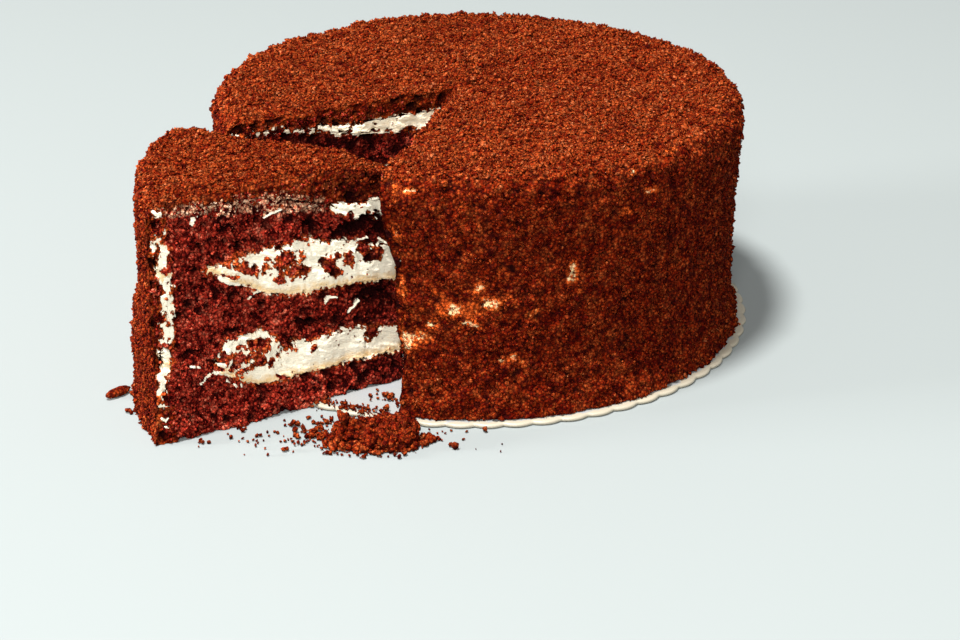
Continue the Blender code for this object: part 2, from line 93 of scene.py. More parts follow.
# Card
CARD_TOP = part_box("cake_card")[1].z
CARD_RADIUS = 103.0 * MM
SCALLOPS = 64
SCALLOP_STEPS = 12
SCALLOP_DEPTH = 1.3 * MM
CARD_SECTION = np.array([
    (0.0, 0.0), (0.5, 0.0), (0.98, 0.0), (0.997, 0.1), (1.0, 0.5), (0.997, 0.9), (0.99, 1.0),
    (0.975, 0.96), (0.965, 0.93), (0.9, 0.93), (0.7, 0.93), (0.4, 0.93), (0.0, 0.93)])

# Cuts: the apex of the notch, and the directions of its walls and of the slice's
APEX = np.array([-5.8, -0.5]) * MM
LEFT_ANGLE = math.radians(-150.8)
RIGHT_ANGLE_LOW = math.radians(-101.3)
RIGHT_ANGLE_HIGH = math.radians(-104.5)
SLICE_FRONT_ANGLE = math.radians(-102.6)
ANGLE_LOW = -6.0 * MM
ANGLE_HIGH = 104.0 * MM
SLIT_WIDTH = 1.4 * MM
SLIT_START = 6.0 * MM
CORNER_START = 78.0 * MM
CORNER_END = 96.0 * MM

# Leaning of the cake, and the bulge of its front corner
CAKE_LEAN = 1.4 * MM
CAKE_LEAN_LOW = 35.0 * MM
CAKE_LEAN_HIGH = 90.0 * MM
CORNER_BULGE = 3.4 * MM
BULGE_LOW = 46.0 * MM
BULGE_HIGH = 78.0 * MM
BULGE_REACH = 20.0 * MM

# Turn and lean of the slice, its spread foot, and the slump and lump of its top's edges
SLICE_TURN = math.radians(-45.0)
SLICE_TIP = np.array([-25.4, -63.3]) * MM
LEAN = 3.5 * MM
LEAN_LOW = 22.0 * MM
LEAN_HIGH = 56.0 * MM
LEAN_FRONT_ANGLE = math.radians(-104.0)
LEAN_BACK_ANGLE = math.radians(-128.0)
FRONT_SPREAD = 2.4 * MM
FRONT_SPREAD_HEIGHT = 14.0 * MM
FRONT_SLUMP = 1.3 * MM
FRONT_SLUMP_WIDTH = 9.0 * MM
FRONT_EDGE_SLUMP = 2.2 * MM
FRONT_EDGE_WIDTH = 3.0 * MM
BACK_LUMP = 2.4 * MM
BACK_LUMP_RADIUS = 8.0 * MM
BACK_LUMP_AT = np.array([-70.0, -39.5]) * MM

# Relief of balls, one to a cell: size of the cells, a ball's radius in shares of it, and lift
COAT_CLUMPS = (5.2 * MM, 0.62, 1.0 * MM)
COAT_LUMPS = (2.7 * MM, 0.72, 0.8 * MM)
COAT_GRAINS = (1.7 * MM, 0.75, 0.35 * MM)
COAT_SINK = 1.35 * MM
BARE_CELLS = 0.45
SPONGE_LUMPS = (2.5 * MM, 0.75, 0.9 * MM)
SPONGE_GRAINS = (1.2 * MM, 0.75, 0.5 * MM)
SPONGE_SINK = 0.85 * MM
PORE_SIZE = 4.0 * MM
PORE_DEPTH = 2.2 * MM
PORE_CELLS = 0.6

# Smooth noise, each kind by its size and by how far it goes
COAT_SWELLS = (7.0 * MM, 0.6 * MM)
COAT_WAVES = (30.0 * MM, 0.7 * MM)
SPONGE_SWELLS = (6.0 * MM, 0.9 * MM)
CUT_WAVES = (11.0 * MM, 1.1 * MM)
CREAM_RIDGES = (1.0 * MM, 0.4 * MM)
CREAM_SWELLS = (4.5 * MM, 0.55 * MM)
CREAM_RIPPLES = (1.6 * MM, 0.2 * MM)
CREAM_LIFT = 0.35 * MM
KNIFE_TURN = np.array([[0.94, -0.34, 0.0], [0.34, 0.94, 0.0], [0.0, 0.0, 1.0]])
KNIFE_STRETCH = np.array([6.0, 1.0, 1.0])

# Ragged edges of the cream on a cut face
EDGE_WAVES = (6.0 * MM, 0.8 * MM)
EDGE_RIPPLES = (1.9 * MM, 0.5 * MM)
EDGE_LUMP_SIZE = 2.3 * MM
EDGE_LUMP_STEP = 1.9 * MM
EDGE_BIT_SIZE = 1.2 * MM
EDGE_BIT_STEP = 0.4 * MM
EDGE_SPECK_SIZE = 0.9 * MM
EDGE_WIDTH = 0.25 * MM
FILLING_OVERHANG = 1.0 * MM

# Teeth that the knife drew down from the fillings; their length is in millimetres
TEETH_SIZE = 0.8 * MM
TEETH_STRETCH = np.array([1.0, 0.22, 1.0])
TEETH_LENGTH = 1.7
TEETH_WAVES = (3.4 * MM, 1.9)
TEETH_SINK = 0.6 * MM

# Icing on a cut face: its strip at the rim, and its band under the coat
STRIP_OVERLAP = 0.4 * MM
STRIP_WAVES = (1.5 * MM, 0.6)
BAND_WEAR = 2.0 * MM
BAND_LOSS = 0.3 * MM
BAND_COVER = 3.9 * MM
BAND_COVER_WEAR = 3.0 * MM

# Marks on a cut face: how ragged they are, and how far they drift from their places
MARK_LUMP_SIZE = 2.4 * MM
MARK_BIT_SIZE = 1.2 * MM
MARK_RIPPLES = (1.4 * MM, 0.35)
MARK_WAVES = (3.2 * MM, 0.45)
DRIFT_WAVES = (4.6 * MM, 1.1 * MM)
DRIFT_RIPPLES = (1.7 * MM, 0.6 * MM)

# Spots of crumb on the cream: their cells, and where they are thicker
SPOT_SIZE = 2.1 * MM
SPOT_EDGE = 2.5 * MM
SPOT_SHARES = (0.32, 0.25, 0.35, 0.25)
SPOT_END = (82.0 * MM, 87.0 * MM)

# Lifts of what lies on a cut face, reach of what shows beside cream, and fade of the painted shade at
# the cream's lower edge
PRESSED_LIFT = 0.7 * MM
STREAK_LIFT = 0.35 * MM
HOLLOW_DEPTH = 2.4 * MM
WIDE_STREAK = 0.8 * MM
WISP_SIZE = 0.9 * MM
WISP_STRETCH = np.array([1.0, 0.3, 1.0])
WISP_REACH = 2.8 * MM
GLOW_REACH = 1.9 * MM
CREAM_SHADE_FADE = (0.4 * MM, 4.6 * MM)

# Painted shade: crumb is darker towards the slice's tip, and in the notch below its coat
TIP_SHADE = 0.5
TIP_FADE = (6.0 * MM, 48.0 * MM)
NOTCH_SHADE = 0.45
NOTCH_COAT_SHADE = 0.85

# Skin of the coat: how it thins over cream, how it meets the ground, its uneven tone, and its painted
# shade towards the foot
THIN_SINK = 0.3 * MM
THIN_CREAM = 0.46
BLOTCHES = (4.2 * MM, 0.5)
SPECKS = (1.5 * MM, 0.6)
WALL_STREAKS = (2.6 * MM, 0.3)
WALL_STRETCH = np.array([1.0, 1.0, 0.2])
TOP_CLOUDS = (9.0 * MM, 0.16)
FOOT_FADE = 2.0 * MM
FOOT_SHADE = (5.0 * MM, 50.0 * MM)
EDGE_FADE = 6.0 * MM
ROUNDING = 1.2 * MM

# Patches on the slice's front face where crumb lies on the cream, and hollows in its sponge,
# which are sunk and also darkened as painted shade: middle out from the apex and up, half axes
# and tilt, in millimetres and degrees
FRONT_CRUMBS = (
    (58.4, 55.6, 6.4, 1.5, 25.0), (66.5, 54.0, 3.6, 1.1, 15.0), (44.6, 55.2, 4.8, 3.2, 10.0),
    (41.8, 51.4, 4.6, 2.2, 25.0), (47.4, 50.2, 2.2, 1.3, 35.0), (28.4, 50.0, 2.6, 3.4, -28.0),
    (25.0, 52.6, 1.7, 1.7, 20.0), (26.0, 47.2, 2.4, 1.0, 15.0), (20.8, 51.0, 2.4, 2.7, 35.0),
    (14.2, 53.4, 3.4, 2.0, 30.0), (10.4, 50.2, 3.4, 2.0, -20.0), (6.2, 53.6, 2.8, 1.6),
    (55.6, 27.0, 5.2, 2.3, 5.0), (45.0, 27.6, 3.2, 4.0, -10.0), (63.4, 28.2, 2.2, 0.8, 10.0),
    (61.8, 24.4, 4.8, 1.4, 15.0), (57.0, 21.0, 2.6, 2.1), (63.2, 19.4, 2.4, 0.8),
    (52.5, 19.6, 0.9, 2.2, 10.0), (66.0, 22.0, 2.4, 1.0, -20.0), (70.5, 26.0, 2.4, 2.6),
    (73.4, 23.6, 3.2, 4.6), (48.8, 21.8, 1.5, 0.8), (36.5, 21.2, 1.0, 1.5),
    (49.5, 13.4, 2.6, 0.6, 10.0), (13.4, 21.8, 2.6, 3.0), (90.5, 34.4, 5.0, 1.1),
    (91.0, 77.4, 4.0, 3.8), (91.5, 66.5, 1.0, 2.2), (89.0, 61.5, 1.0, 1.0), (94.5, 16.0, 3.0, 2.0),
)
FRONT_HOLLOWS = (
    (16.5, 62.4, 11.5, 3.2, -10.0), (8.0, 58.5, 5.0, 2.4), (35.0, 66.0, 5.0, 1.8, 14.0),
    (62.0, 64.0, 3.4, 1.6, 8.0), (65.5, 72.0, 3.6, 1.3, 10.0), (70.6, 49.6, 1.8, 1.8),
    (10.0, 36.0, 7.0, 4.0, -8.0), (66.0, 34.6, 4.6, 1.3, 6.0), (37.5, 31.0, 5.0, 1.5, 8.0),
    (84.0, 44.0, 1.6, 1.4), (80.5, 30.0, 3.4, 1.4),
)

# Curls of cream on the front face: width, then points out from the apex and up, in millimetres
FRONT_STREAKS = (
    (1.0, (78.4, 75.5), (77.6, 77.2), (76.2, 78.8)),
    (0.6, (52.0, 71.8), (48.6, 73.4), (46.0, 74.0)), (0.8, (90.5, 82.4), (89.5, 80.4)),
    (1.5, (69.4, 54.7), (65.6, 52.4), (61.6, 50.8), (56.5, 49.2)),
    (0.9, (72.9, 57.8), (71.9, 58.6)),
    (0.6, (59.5, 44.6), (57.0, 46.7), (53.0, 46.9), (51.2, 45.0)),
    (0.6, (30.2, 36.0), (29.0, 37.9), (25.8, 37.5)),
    (0.65, (21.5, 31.0), (19.6, 32.6), (17.6, 34.2)), (0.6, (82.0, 26.2), (80.8, 25.6)),
    (0.5, (79.4, 25.2), (78.0, 24.6)), (0.5, (78.6, 18.8), (76.6, 20.2), (75.0, 20.8)),
    (0.9, (75.2, 20.8), (73.0, 21.4), (70.6, 20.6)), (0.9, (71.6, 24.2), (70.0, 22.9)),
    (1.1, (69.6, 20.6), (67.0, 19.2)), (0.5, (69.0, 17.6), (67.8, 16.4)),
    (0.5, (66.2, 15.2), (65.4, 13.8)), (0.5, (63.8, 14.4), (63.4, 13.2)),
    (1.3, (68.4, 28.0), (68.2, 30.8), (61.0, 31.0), (57.5, 30.6)),
    (1.6, (56.7, 31.0), (53.5, 31.2)), (0.7, (20.0, 55.4), (17.6, 50.7), (19.0, 46.4)),
    (0.6, (17.0, 57.4), (13.4, 56.8)), (0.6, (9.0, 55.4), (6.0, 53.4)),
    (0.9, (94.6, 20.4), (95.4, 17.6)), (0.8, (96.2, 15.6), (95.2, 13.8)),
    (0.6, (93.4, 9.6), (92.4, 8.4), (91.4, 9.0)), (0.6, (92.8, 6.4), (91.8, 5.8)),
)

# Belt of smeared crumb under the front face's top edge: points out, height and half width
SMEAR_BELT = (
    (30.0, 72.0, 3.0), (45.0, 75.6, 4.2), (54.0, 77.2, 3.8), (66.0, 79.3, 3.5), (87.0, 81.4, 1.8),
)

# Places on the cake's wall where the coat is thin: angle, height, half axes, and how thin, in
# degrees and millimetres
THIN_PATCHES = (
    (-102.3, 82.8, 4.0, 1.6, 1.0), (-52.7, 76.4, 3.6, 1.6, 1.4), (-57.4, 84.3, 1.6, 1.0, 1.0),
    (-46.3, 87.6, 4.0, 1.8, 1.1), (-70.1, 53.7, 1.8, 2.8, 1.1), (-70.3, 49.5, 2.2, 2.0, 1.1),
    (-68.3, 44.8, 1.4, 1.1, 1.0), (-77.6, 39.0, 2.8, 2.2, 1.1), (-94.1, 41.0, 2.6, 2.0, 1.3),
    (-92.2, 35.8, 2.2, 1.2, 1.0), (-89.9, 35.1, 2.0, 1.0, 1.0), (-86.8, 43.5, 2.8, 2.0, 1.2),
    (-89.0, 49.1, 1.8, 1.3, 1.0), (-98.6, 35.0, 2.2, 1.4, 1.2), (-100.9, 30.4, 3.4, 2.2, 1.1),
    (-103.4, 27.6, 2.2, 2.6, 1.1), (-84.5, 22.0, 1.8, 1.0, 1.2), (-81.8, 23.2, 1.8, 1.2, 1.2),
    (-80.3, 20.9, 1.4, 1.0, 1.1), (-30.6, 26.2, 1.4, 1.1, 1.1), (-91.5, 43.0, 15.0, 9.0, 0.5),
    (-82.0, 53.6, 6.0, 3.0, 0.4), (-60.9, 70.5, 8.0, 3.0, 0.4), (-92.2, 78.6, 4.0, 4.0, 0.35),
    (20.0, 52.0, 4.0, 2.5, 0.9), (64.0, 30.0, 5.0, 2.5, 1.0), (101.0, 60.0, 4.0, 2.5, 0.9),
    (150.0, 38.0, 5.0, 3.0, 1.0), (-172.0, 55.0, 3.0, 2.5, 0.9),
)

# Scattered crumbs: spread of their corners, sides and sizes, and where they sit
CORNER_SPREAD = (0.6, 1.35)
SIDE_SPREAD = (0.65, 1.25)
SIZE_ENDS = (-1.6, 1.8)
SEAT_DROP = 40.0 * MM
FACE_TOP = 84.0 * MM

# Heap of fallen crumbs: its outline, and each mound's place, radius and rise in millimetres
HEAP_CENTRE = np.array([-32.5, -110.5]) * MM
HEAP_SEMI_AXES = np.array([15.5, 9.0]) * MM
HEAP_RIM = 0.7 * MM
HEAP_MOUNDS = ((-24.0, -110.0, 7.5, 6.5), (-43.5, -105.5, 5.0, 4.0), (-34.0, -106.0, 6.0, 3.0))
HEAP_TURNS = 90
HEAP_RINGS = 26
HEAP_BASE_RINGS = [0, 8, 16, 25]
HEAP_CRUMBS = 1500
HEAP_CRUMB = 0.64 * MM
HEAP_FOOT = 0.8 * MM
HEAP_FRONT = -105.0 * MM
BIG_CRUMB = 1.9
BIG_CRUMB_EVERY = 40

# Loose crumbs: clusters round spots, a cloud of strays, a ring at the heap's edge, and dust on
# the card's rim; places are in millimetres
LOOSE_SPOTS = (
    (-50, -101), (-52, -105), (-54, -109), (-49, -109), (-57, -109), (-58, -113), (-54, -111),
    (-48, -114), (-48, -119), (-43, -121), (-31, -121), (-14, -109), (-18, -116), (-19, -111),
    (-119, -90), (-79, -105), (-63, -100), (-71, -112), (-91, -115), (-26, -122), (-38, -123),
    (-53, -88), (-48, -93), (-42, -95), (-37, -97), (-32, -98), (-29, -93), (-27, -88),
    (-30, -84), (-44, -90), (-39, -92), (-35, -82), (-31, -80), (-29, -83),
)
CLUSTER = 5
CLUSTER_SPREAD = 1.5
STRAYS = 240
STRAYS_AT = (-42.0, -109.0)
STRAYS_SPREAD = (19.0, 7.0)
EDGE_CRUMBS = 330
EDGE_TURNS = (-195.0, 15.0)
EDGE_REACH = (0.9, 1.22)
DUST = 170
DUST_TURNS = (-123.0, -108.0)
DUST_RADIUS = (99.5, 1.6)
LOOSE_CRUMB = 0.54 * MM
DUST_GRAIN = 0.36 * MM
LOOSE_FRONT = -124.0 * MM

# Fallen flake
FLAKE_CENTRE = np.array([-124.2, -77.2, 1.3]) * MM
FLAKE_SEMI_AXES = np.array([5.6, 2.1, 1.5]) * MM
FLAKE_TURN = math.radians(48.0)
FLAKE_ROUGHNESS = 0.45
NOISE_SHIFT = 1.0

# Shells: the icing's wall, and steps round the coat's inside
ICING_WALL = 66.0 * MM
INNER_STEP = 9.0 * MM

# Materials
CRUMB_CELL = 0.95 * MM
SPONGE_CONTRAST = 1.7
COAT_CONTRAST = 1.0
PRESSED_LINES = 420.0

# Stage, in metres and degrees: each light's place and width, and the camera
FLOOR_SIDE = 6.0
FLOOR_DROP = 0.1 * MM
LIGHTS = {
    "key": ((-0.66, -0.58, 2.87), 0.55),
    "front": ((-0.1, -2.1, 1.3), 0.7),
    "side": ((-2.35, -0.35, 0.22), 0.7),
}
LIGHT_COLOUR = (1.0, 0.98, 0.96)
AIR_COLOUR = (0.98, 0.97, 0.95, 1.0)
LIT_POINT = Vector((0.0, 0.0, 0.04))
CAMERA_PLACE = Vector((0.0, -0.7579, 0.3392))
CAMERA_PITCH = math.radians(24.50)
CAMERA_YAW = math.radians(0.162)
CAMERA_ROLL = math.radians(0.145)
CAMERA_LENS = 81.58
CAMERA_SENSOR = 36.0

# What a finish says about each point, from 0 to 1
# The paint turns glow into a painted glow beside cream, and low height into painted shade
FIELDS = ("cream", "glow", "tone", "height", "smeared")


def slot_colour(name):
    """Base colour that the record gives a material slot."""
    (found,) = [slot for slot in frame["record"]["materials"] if slot["slot"] == name]
    return tuple(found["base_color"][:3])


# ---------------- numbers


def smoothstep(start, end, value):
    """Rises smoothly from 0 at start to 1 at end."""
    share = np.clip((value - start) / (end - start), 0.0, 1.0)
    return share * share * (3.0 - 2.0 * share)


def dome(reach):
    """Height of the upper half of a ball of radius 1 at a distance from its centre."""
    return np.sqrt(np.clip(1.0 - reach * reach, 0.0, 1.0))


def chance(cell, seed):
    """A random number from 0 to 1 for each cell: its three whole numbers and a seed, mixed."""
    x, y, z = np.moveaxis(cell.astype(np.int64), -1, 0).astype(np.uint32)
    mixed = x * np.uint32(73856093) ^ y * np.uint32(19349663) ^ z * np.uint32(83492791)
    mixed = mixed ^ np.uint32(seed * 40503 % 65521 * 65521)
    for turn in (15, 13, 16):
        mixed = (mixed ^ (mixed >> np.uint32(turn))) * np.uint32(2246822519)
    return (mixed ^ (mixed >> np.uint32(15))) / 4294967296.0


def waves(points, size, seed):
    """Smooth noise from -1 to 1: random numbers at the corners of a grid of that size, blended."""
    place = points / size
    low = np.floor(place)
    part = place - low
    part = part * part * (3.0 - 2.0 * part)
    total = np.zeros(points.shape[:-1])
    for corner in np.ndindex(2, 2, 2):
        weight = np.prod(np.where(corner, part, 1.0 - part), axis=-1)
        total += weight * chance(low + corner, seed)
    return 2.0 * total - 1.0


def cells(points, size, seed):
    """The nearest of centres scattered one to a grid cell: how far it is, and its own number."""
    place = points / size
    low = np.floor(place)
    nearest = np.full(points.shape[:-1], 9.0)
    own = np.zeros(points.shape[:-1])
    for step in np.ndindex(3, 3, 3):
        cell = low + step - 1.0
        centre = np.stack([chance(cell, seed + axis) for axis in range(3)], axis=-1)
        away = np.linalg.norm(cell + centre - place, axis=-1)
        closer = away < nearest
        own = np.where(closer, centre[..., 0] * 7.0 % 1.0, own)
        nearest = np.where(closer, away, nearest)
    return nearest, own


def level(surface, radius):
    """Height above the foot of a surface between layers, at a distance from the axis."""
    share = np.minimum(radius / SPONGE_RADIUS, 1.0)
    height, *rises = surface
    total = np.full(np.shape(share), height)
    for rise, start, end in rises:
        total = total + rise * smoothstep(start, end, share)
    return total * MM


def direction(angle):
    """Step of length 1 in plan at that angle: its cosine, then its sine."""
    return np.stack([np.cos(angle), np.sin(angle)], axis=-1)


def ray_length(along, radius):
    """How far from the apex a level ray meets the circle of that radius round the axis."""
    across = along @ APEX
    return np.sqrt(across * across - APEX @ APEX + radius * radius) - across


# ---------------- relief


def balls(points, kind, seed):
    """How high on its ball each point is from 0 to 1, its lift there, and the ball's own number."""
    size, radius, lift = kind
    away, own = cells(points, size, seed)
    top = dome(away / radius)
    return top, lift * top, own


def swell(points, kind, seed):
    """Smooth noise of a kind: its size, and how far it goes up and down."""
    size, reach = kind
    return reach * waves(points, size, seed)


def crumb_coat(points, seed):
    """Relief of the coat: tops of balls of three sizes, one to a cell, over a slow wave.

    Returns the lift, how high a point stands among its neighbours from 0 to 1, and its tone.
    """
    clumps, clump_lift, clump_own = balls(points, COAT_CLUMPS, seed)
    lumps, lump_lift, lump_own = balls(points, COAT_LUMPS, seed + 10)
    grains, grain_lift, grain_own = balls(points, COAT_GRAINS, seed + 20)
    there = clump_own > BARE_CELLS
    lift = clump_lift * there + lump_lift + grain_lift - COAT_SINK
    lift = lift + swell(points, COAT_SWELLS, seed + 30)
    height = np.clip(0.2 * clumps * there + 0.5 * lumps + 0.45 * grains, 0.0, 1.0)
    tone = 0.2 * clump_own + 0.45 * lump_own + 0.35 * grain_own
    return lift, height, tone


def torn_sponge(points, seed):
    """Relief of torn sponge: lumps and grains as in the coat, with round pores sunk in it."""
    lumps, lump_lift, lump_own = balls(points, SPONGE_LUMPS, seed)
    grains, grain_lift, grain_own = balls(points, SPONGE_GRAINS, seed + 10)
    pore, pore_own = cells(points, PORE_SIZE, seed + 20)
    pores = dome(pore / (0.2 + 0.8 * pore_own)) * (pore_own < PORE_CELLS)
    lift = lump_lift + grain_lift - PORE_DEPTH * pores - SPONGE_SINK
    lift = lift + swell(points, SPONGE_SWELLS, seed + 30)
    height = np.clip(0.5 * lumps + 0.5 * grains + 0.05, 0.0, 1.0) * (1.0 - 0.85 * pores)
    tone = 0.5 * lump_own + 0.5 * grain_own
    return lift, height, tone


def spread_cream(points, seed):
    """Relief of cream: ridges drawn out along the way the knife went, swells and ripples."""
    ridges = swell(points @ KNIFE_TURN / KNIFE_STRETCH, CREAM_RIDGES, seed)
    swells = swell(points, CREAM_SWELLS, seed + 1)
    return CREAM_LIFT + ridges + swells + swell(points, CREAM_RIPPLES, seed + 2)


# ---------------- cut faces


class Patch:
    """An oval on a cut face: its middle out from the apex and up, its half axes and its tilt."""

    def __init__(self, out, up, length, height, tilt=0.0):
        self.middle = (out * MM, up * MM)
        self.axes = (length * MM, height * MM)
        self.tilt = math.radians(tilt)

    def depth(self, out, up, ragged):
        """How deep inside: 1 in the middle, 0 on the ragged edge, less outside."""
        across = out - self.middle[0]
        rise = up - self.middle[1]
        first = (across * math.cos(self.tilt) + rise * math.sin(self.tilt)) / self.axes[0]
        second = (rise * math.cos(self.tilt) - across * math.sin(self.tilt)) / self.axes[1]
        return 1.0 - np.hypot(first, second) + ragged


class Streak:
    """A thin curl of cream on a cut face: its points out from the apex and up, in millimetres."""

    def __init__(self, width, *points):
        self.width = width * MM
        self.points = np.array(points) * MM

    def share(self, out, up):
        """1 on the line through the points, fading to 0 at its width."""
        nearest = np.full(out.shape, 1.0)
        for start, end in zip(self.points, self.points[1:]):
            run = end - start
            part = ((out - start[0]) * run[0] + (up - start[1]) * run[1]) / (run @ run)
            part = np.clip(part, 0.0, 1.0)
            away = np.hypot(out - start[0] - part * run[0], up - start[1] - part * run[1])
            nearest = np.minimum(nearest, away)
        return 1.0 - smoothstep(0.4 * self.width, self.width, nearest)


class Wall:
    """One cut wall: the angles at which it runs out low and high, and how it is finished.

    The side is +1 where the removed wedge lies clockwise of the wall and -1 where it lies
    anticlockwise. What it faces is +1 on the slice and -1 on the cake. The corner is how far
    its outer edge stands off its plane, and the spread is the same for its foot.
    """

    def __init__(
            self, angles, side, facing, corner, seed, crumbs=(), hollows=(), streaks=(), spread=0.0):
        self.angles = angles
        self.side = side
        self.facing = facing
        self.corner = corner
        self.seed = seed
        self.crumbs = [Patch(*row) for row in crumbs]
        self.hollows = [Patch(*row) for row in hollows]
        self.streaks = [Streak(*row) for row in streaks]
        self.spread = spread

    def angle(self, up):
        """Angle of the wall's plane, which goes evenly from the low one to the high one."""
        share = (up - ANGLE_LOW) / (ANGLE_HIGH - ANGLE_LOW)
        return self.angles[0] + (self.angles[1] - self.angles[0]) * share

    def outward(self, up):
        """Step of length 1 square to the wall's plane, away from the removed wedge."""
        along = direction(self.angle(up))
        return np.stack([-along[..., 1], along[..., 0]], axis=-1) * self.side

    def plan(self, out, up):
        """Points in plan that far out from the apex along the wall's plane."""
        return APEX + direction(self.angle(up)) * out[..., None]

    def radius(self, out, up):
        """How far from the cake's axis such a point is."""
        return np.linalg.norm(self.plan(out, up), axis=-1)

    def shade(self, body, out, up):
        """Painted shade: crumb darker towards the slice's tip, and in the notch below its coat."""
        if self.facing > 0:
            return TIP_SHADE + (1.0 - TIP_SHADE) * smoothstep(*TIP_FADE, out)
        coat = smoothstep(-MM, MM, up - body.height(body.tops[1], self.radius(out, up)))
        return NOTCH_SHADE + (NOTCH_COAT_SHADE - NOTCH_SHADE) * coat

    def offset(self, out, up):
        """How far the wall stands off its plane, before its fine relief."""
        seat = np.stack([out, up, np.full(np.shape(out), self.side * 0.1)], axis=-1)
        offset = swell(seat, CUT_WAVES, 5)
        offset = offset + self.corner * smoothstep(CORNER_START, CORNER_END, out)
        offset = offset + self.spread * (1.0 - smoothstep(0.0, FRONT_SPREAD_HEIGHT, up))
        if self.side < 0 and self.facing < 0:
            offset = offset + SLIT_WIDTH * smoothstep(0.0, SLIT_START, out)
        return offset * smoothstep(0.0, 2.0 * MM, out)

    def place(self, out, up, lift):
        """Points of the wall: out along its direction, up, and off it by offset and lift."""
        push = self.offset(out, up) + self.facing * lift * smoothstep(0.0, ROUNDING, out)
        plan = self.plan(out, up) + self.outward(up) * push[..., None]
        return np.concatenate([plan, up[..., None]], axis=-1)

    def cream(self, body, seat, out, up):
        """Cream on the face, from 1 on it to 0 off it, with ragged edges.

        Also returns how far inside the cream a point is, and how far above its filling's floor.
        """
        radius = self.radius(out, up)
        lump = cells(seat, EDGE_LUMP_SIZE, self.seed + 7)[1] - 0.5
        bits = waves(seat, EDGE_SPECK_SIZE, self.seed + 8)
        bits = bits + 1.6 * cells(seat, EDGE_BIT_SIZE, self.seed + 13)[1] - 0.8
        wobble = swell(seat, EDGE_WAVES, self.seed + 1) + EDGE_LUMP_STEP * lump
        wobble = wobble + swell(seat, EDGE_RIPPLES, self.seed + 2) + EDGE_BIT_STEP * bits
        height = up - body.foot + wobble
        smooth_height = up - body.foot + 0.4 * (wobble - EDGE_LUMP_STEP * lump)
        teeth = np.abs(waves(seat * TEETH_STRETCH, TEETH_SIZE, self.seed + 3))
        comb = MM * (TEETH_LENGTH + swell(seat, TEETH_WAVES, self.seed + 15)) * teeth - TEETH_SINK
        inside = np.full(out.shape, -1.0)
        floor_gap = np.full(out.shape, 1.0)
        for bottom, top in body.fillings:
            above = smooth_height - level(bottom, radius) + comb
            floor_gap = np.where(above > 0.0, above, floor_gap)
            below = level(top, radius) - height
            end = FILLING_RADIUS + FILLING_OVERHANG - radius + wobble
            inside = np.maximum(inside, np.minimum(np.minimum(above, below), end))
        ragged = swell(seat, STRIP_WAVES, self.seed + 4) + 0.8 * lump
        inner = SPONGE_RADIUS - STRIP_OVERLAP + body.strip_bend(up)
        outer = ICING_RADIUS + body.strip_bend(up)
        strip = np.minimum(radius - inner, outer - radius) + body.strip_wear * ragged - body.strip_loss
        strip = np.minimum(strip, level(body.tops[1], radius) - height)
        strip = np.minimum(strip, up - body.icing_foot)
        band = np.minimum(height - level(body.tops[0], radius), level(body.tops[1], radius) - height)
        band = np.minimum(band, ICING_RADIUS - radius) + BAND_WEAR * ragged - BAND_LOSS
        band = band - body.band_cover(out) * (BAND_COVER + BAND_COVER_WEAR * ragged)
        inside = np.maximum(inside, np.maximum(strip, band))
        return smoothstep(-EDGE_WIDTH, EDGE_WIDTH, inside), inside, floor_gap

    def ragged(self, seat):
        """How ragged marks are: two waves, and steps from lump to lump and from bit to bit."""
        lump = cells(seat, MARK_LUMP_SIZE, self.seed + 9)[1] - 0.5
        bit = cells(seat, MARK_BIT_SIZE, self.seed + 12)[1] - 0.5
        ragged = swell(seat, MARK_RIPPLES, self.seed + 5) + swell(seat, MARK_WAVES, self.seed)
        return ragged + 0.6 * lump + 0.85 * bit

    def pressed(self, seat, drifted, inside, ragged):
        """Share of the crumbs that lie on cream, in patches and spots, and how deep in a patch."""
        deep = np.full(inside.shape, -1.0)
        for patch in self.crumbs:
            deep = np.maximum(deep, patch.depth(*drifted, 0.9 * ragged + 0.12))
        everywhere, at_edge, by_patch, at_end = SPOT_SHARES
        share = everywhere + at_edge * smoothstep(SPOT_EDGE, 0.0, inside)
        share = share + by_patch * smoothstep(-1.0, 0.0, deep)
        share = share + at_end * smoothstep(*SPOT_END, seat[..., 0])
        spot, own = cells(seat, SPOT_SIZE, self.seed + 50)
        spots = (own < share) * dome(spot / (0.12 + 0.5 * own))
        crumbs = np.maximum(smoothstep(-0.1, 0.1, deep), np.clip(spots * 1.6, 0.0, 1.0))
        return crumbs, deep

    def curls(self, drifted, ragged):
        """Share of the curls of cream; the wide ones are torn."""
        share = np.zeros(ragged.shape)
        torn = smoothstep(-0.85, -0.35, 1.6 * ragged)
        for streak in self.streaks:
            kept = torn if streak.width > WIDE_STREAK else 1.0
            share = np.maximum(share, streak.share(*drifted) * kept)
        return share

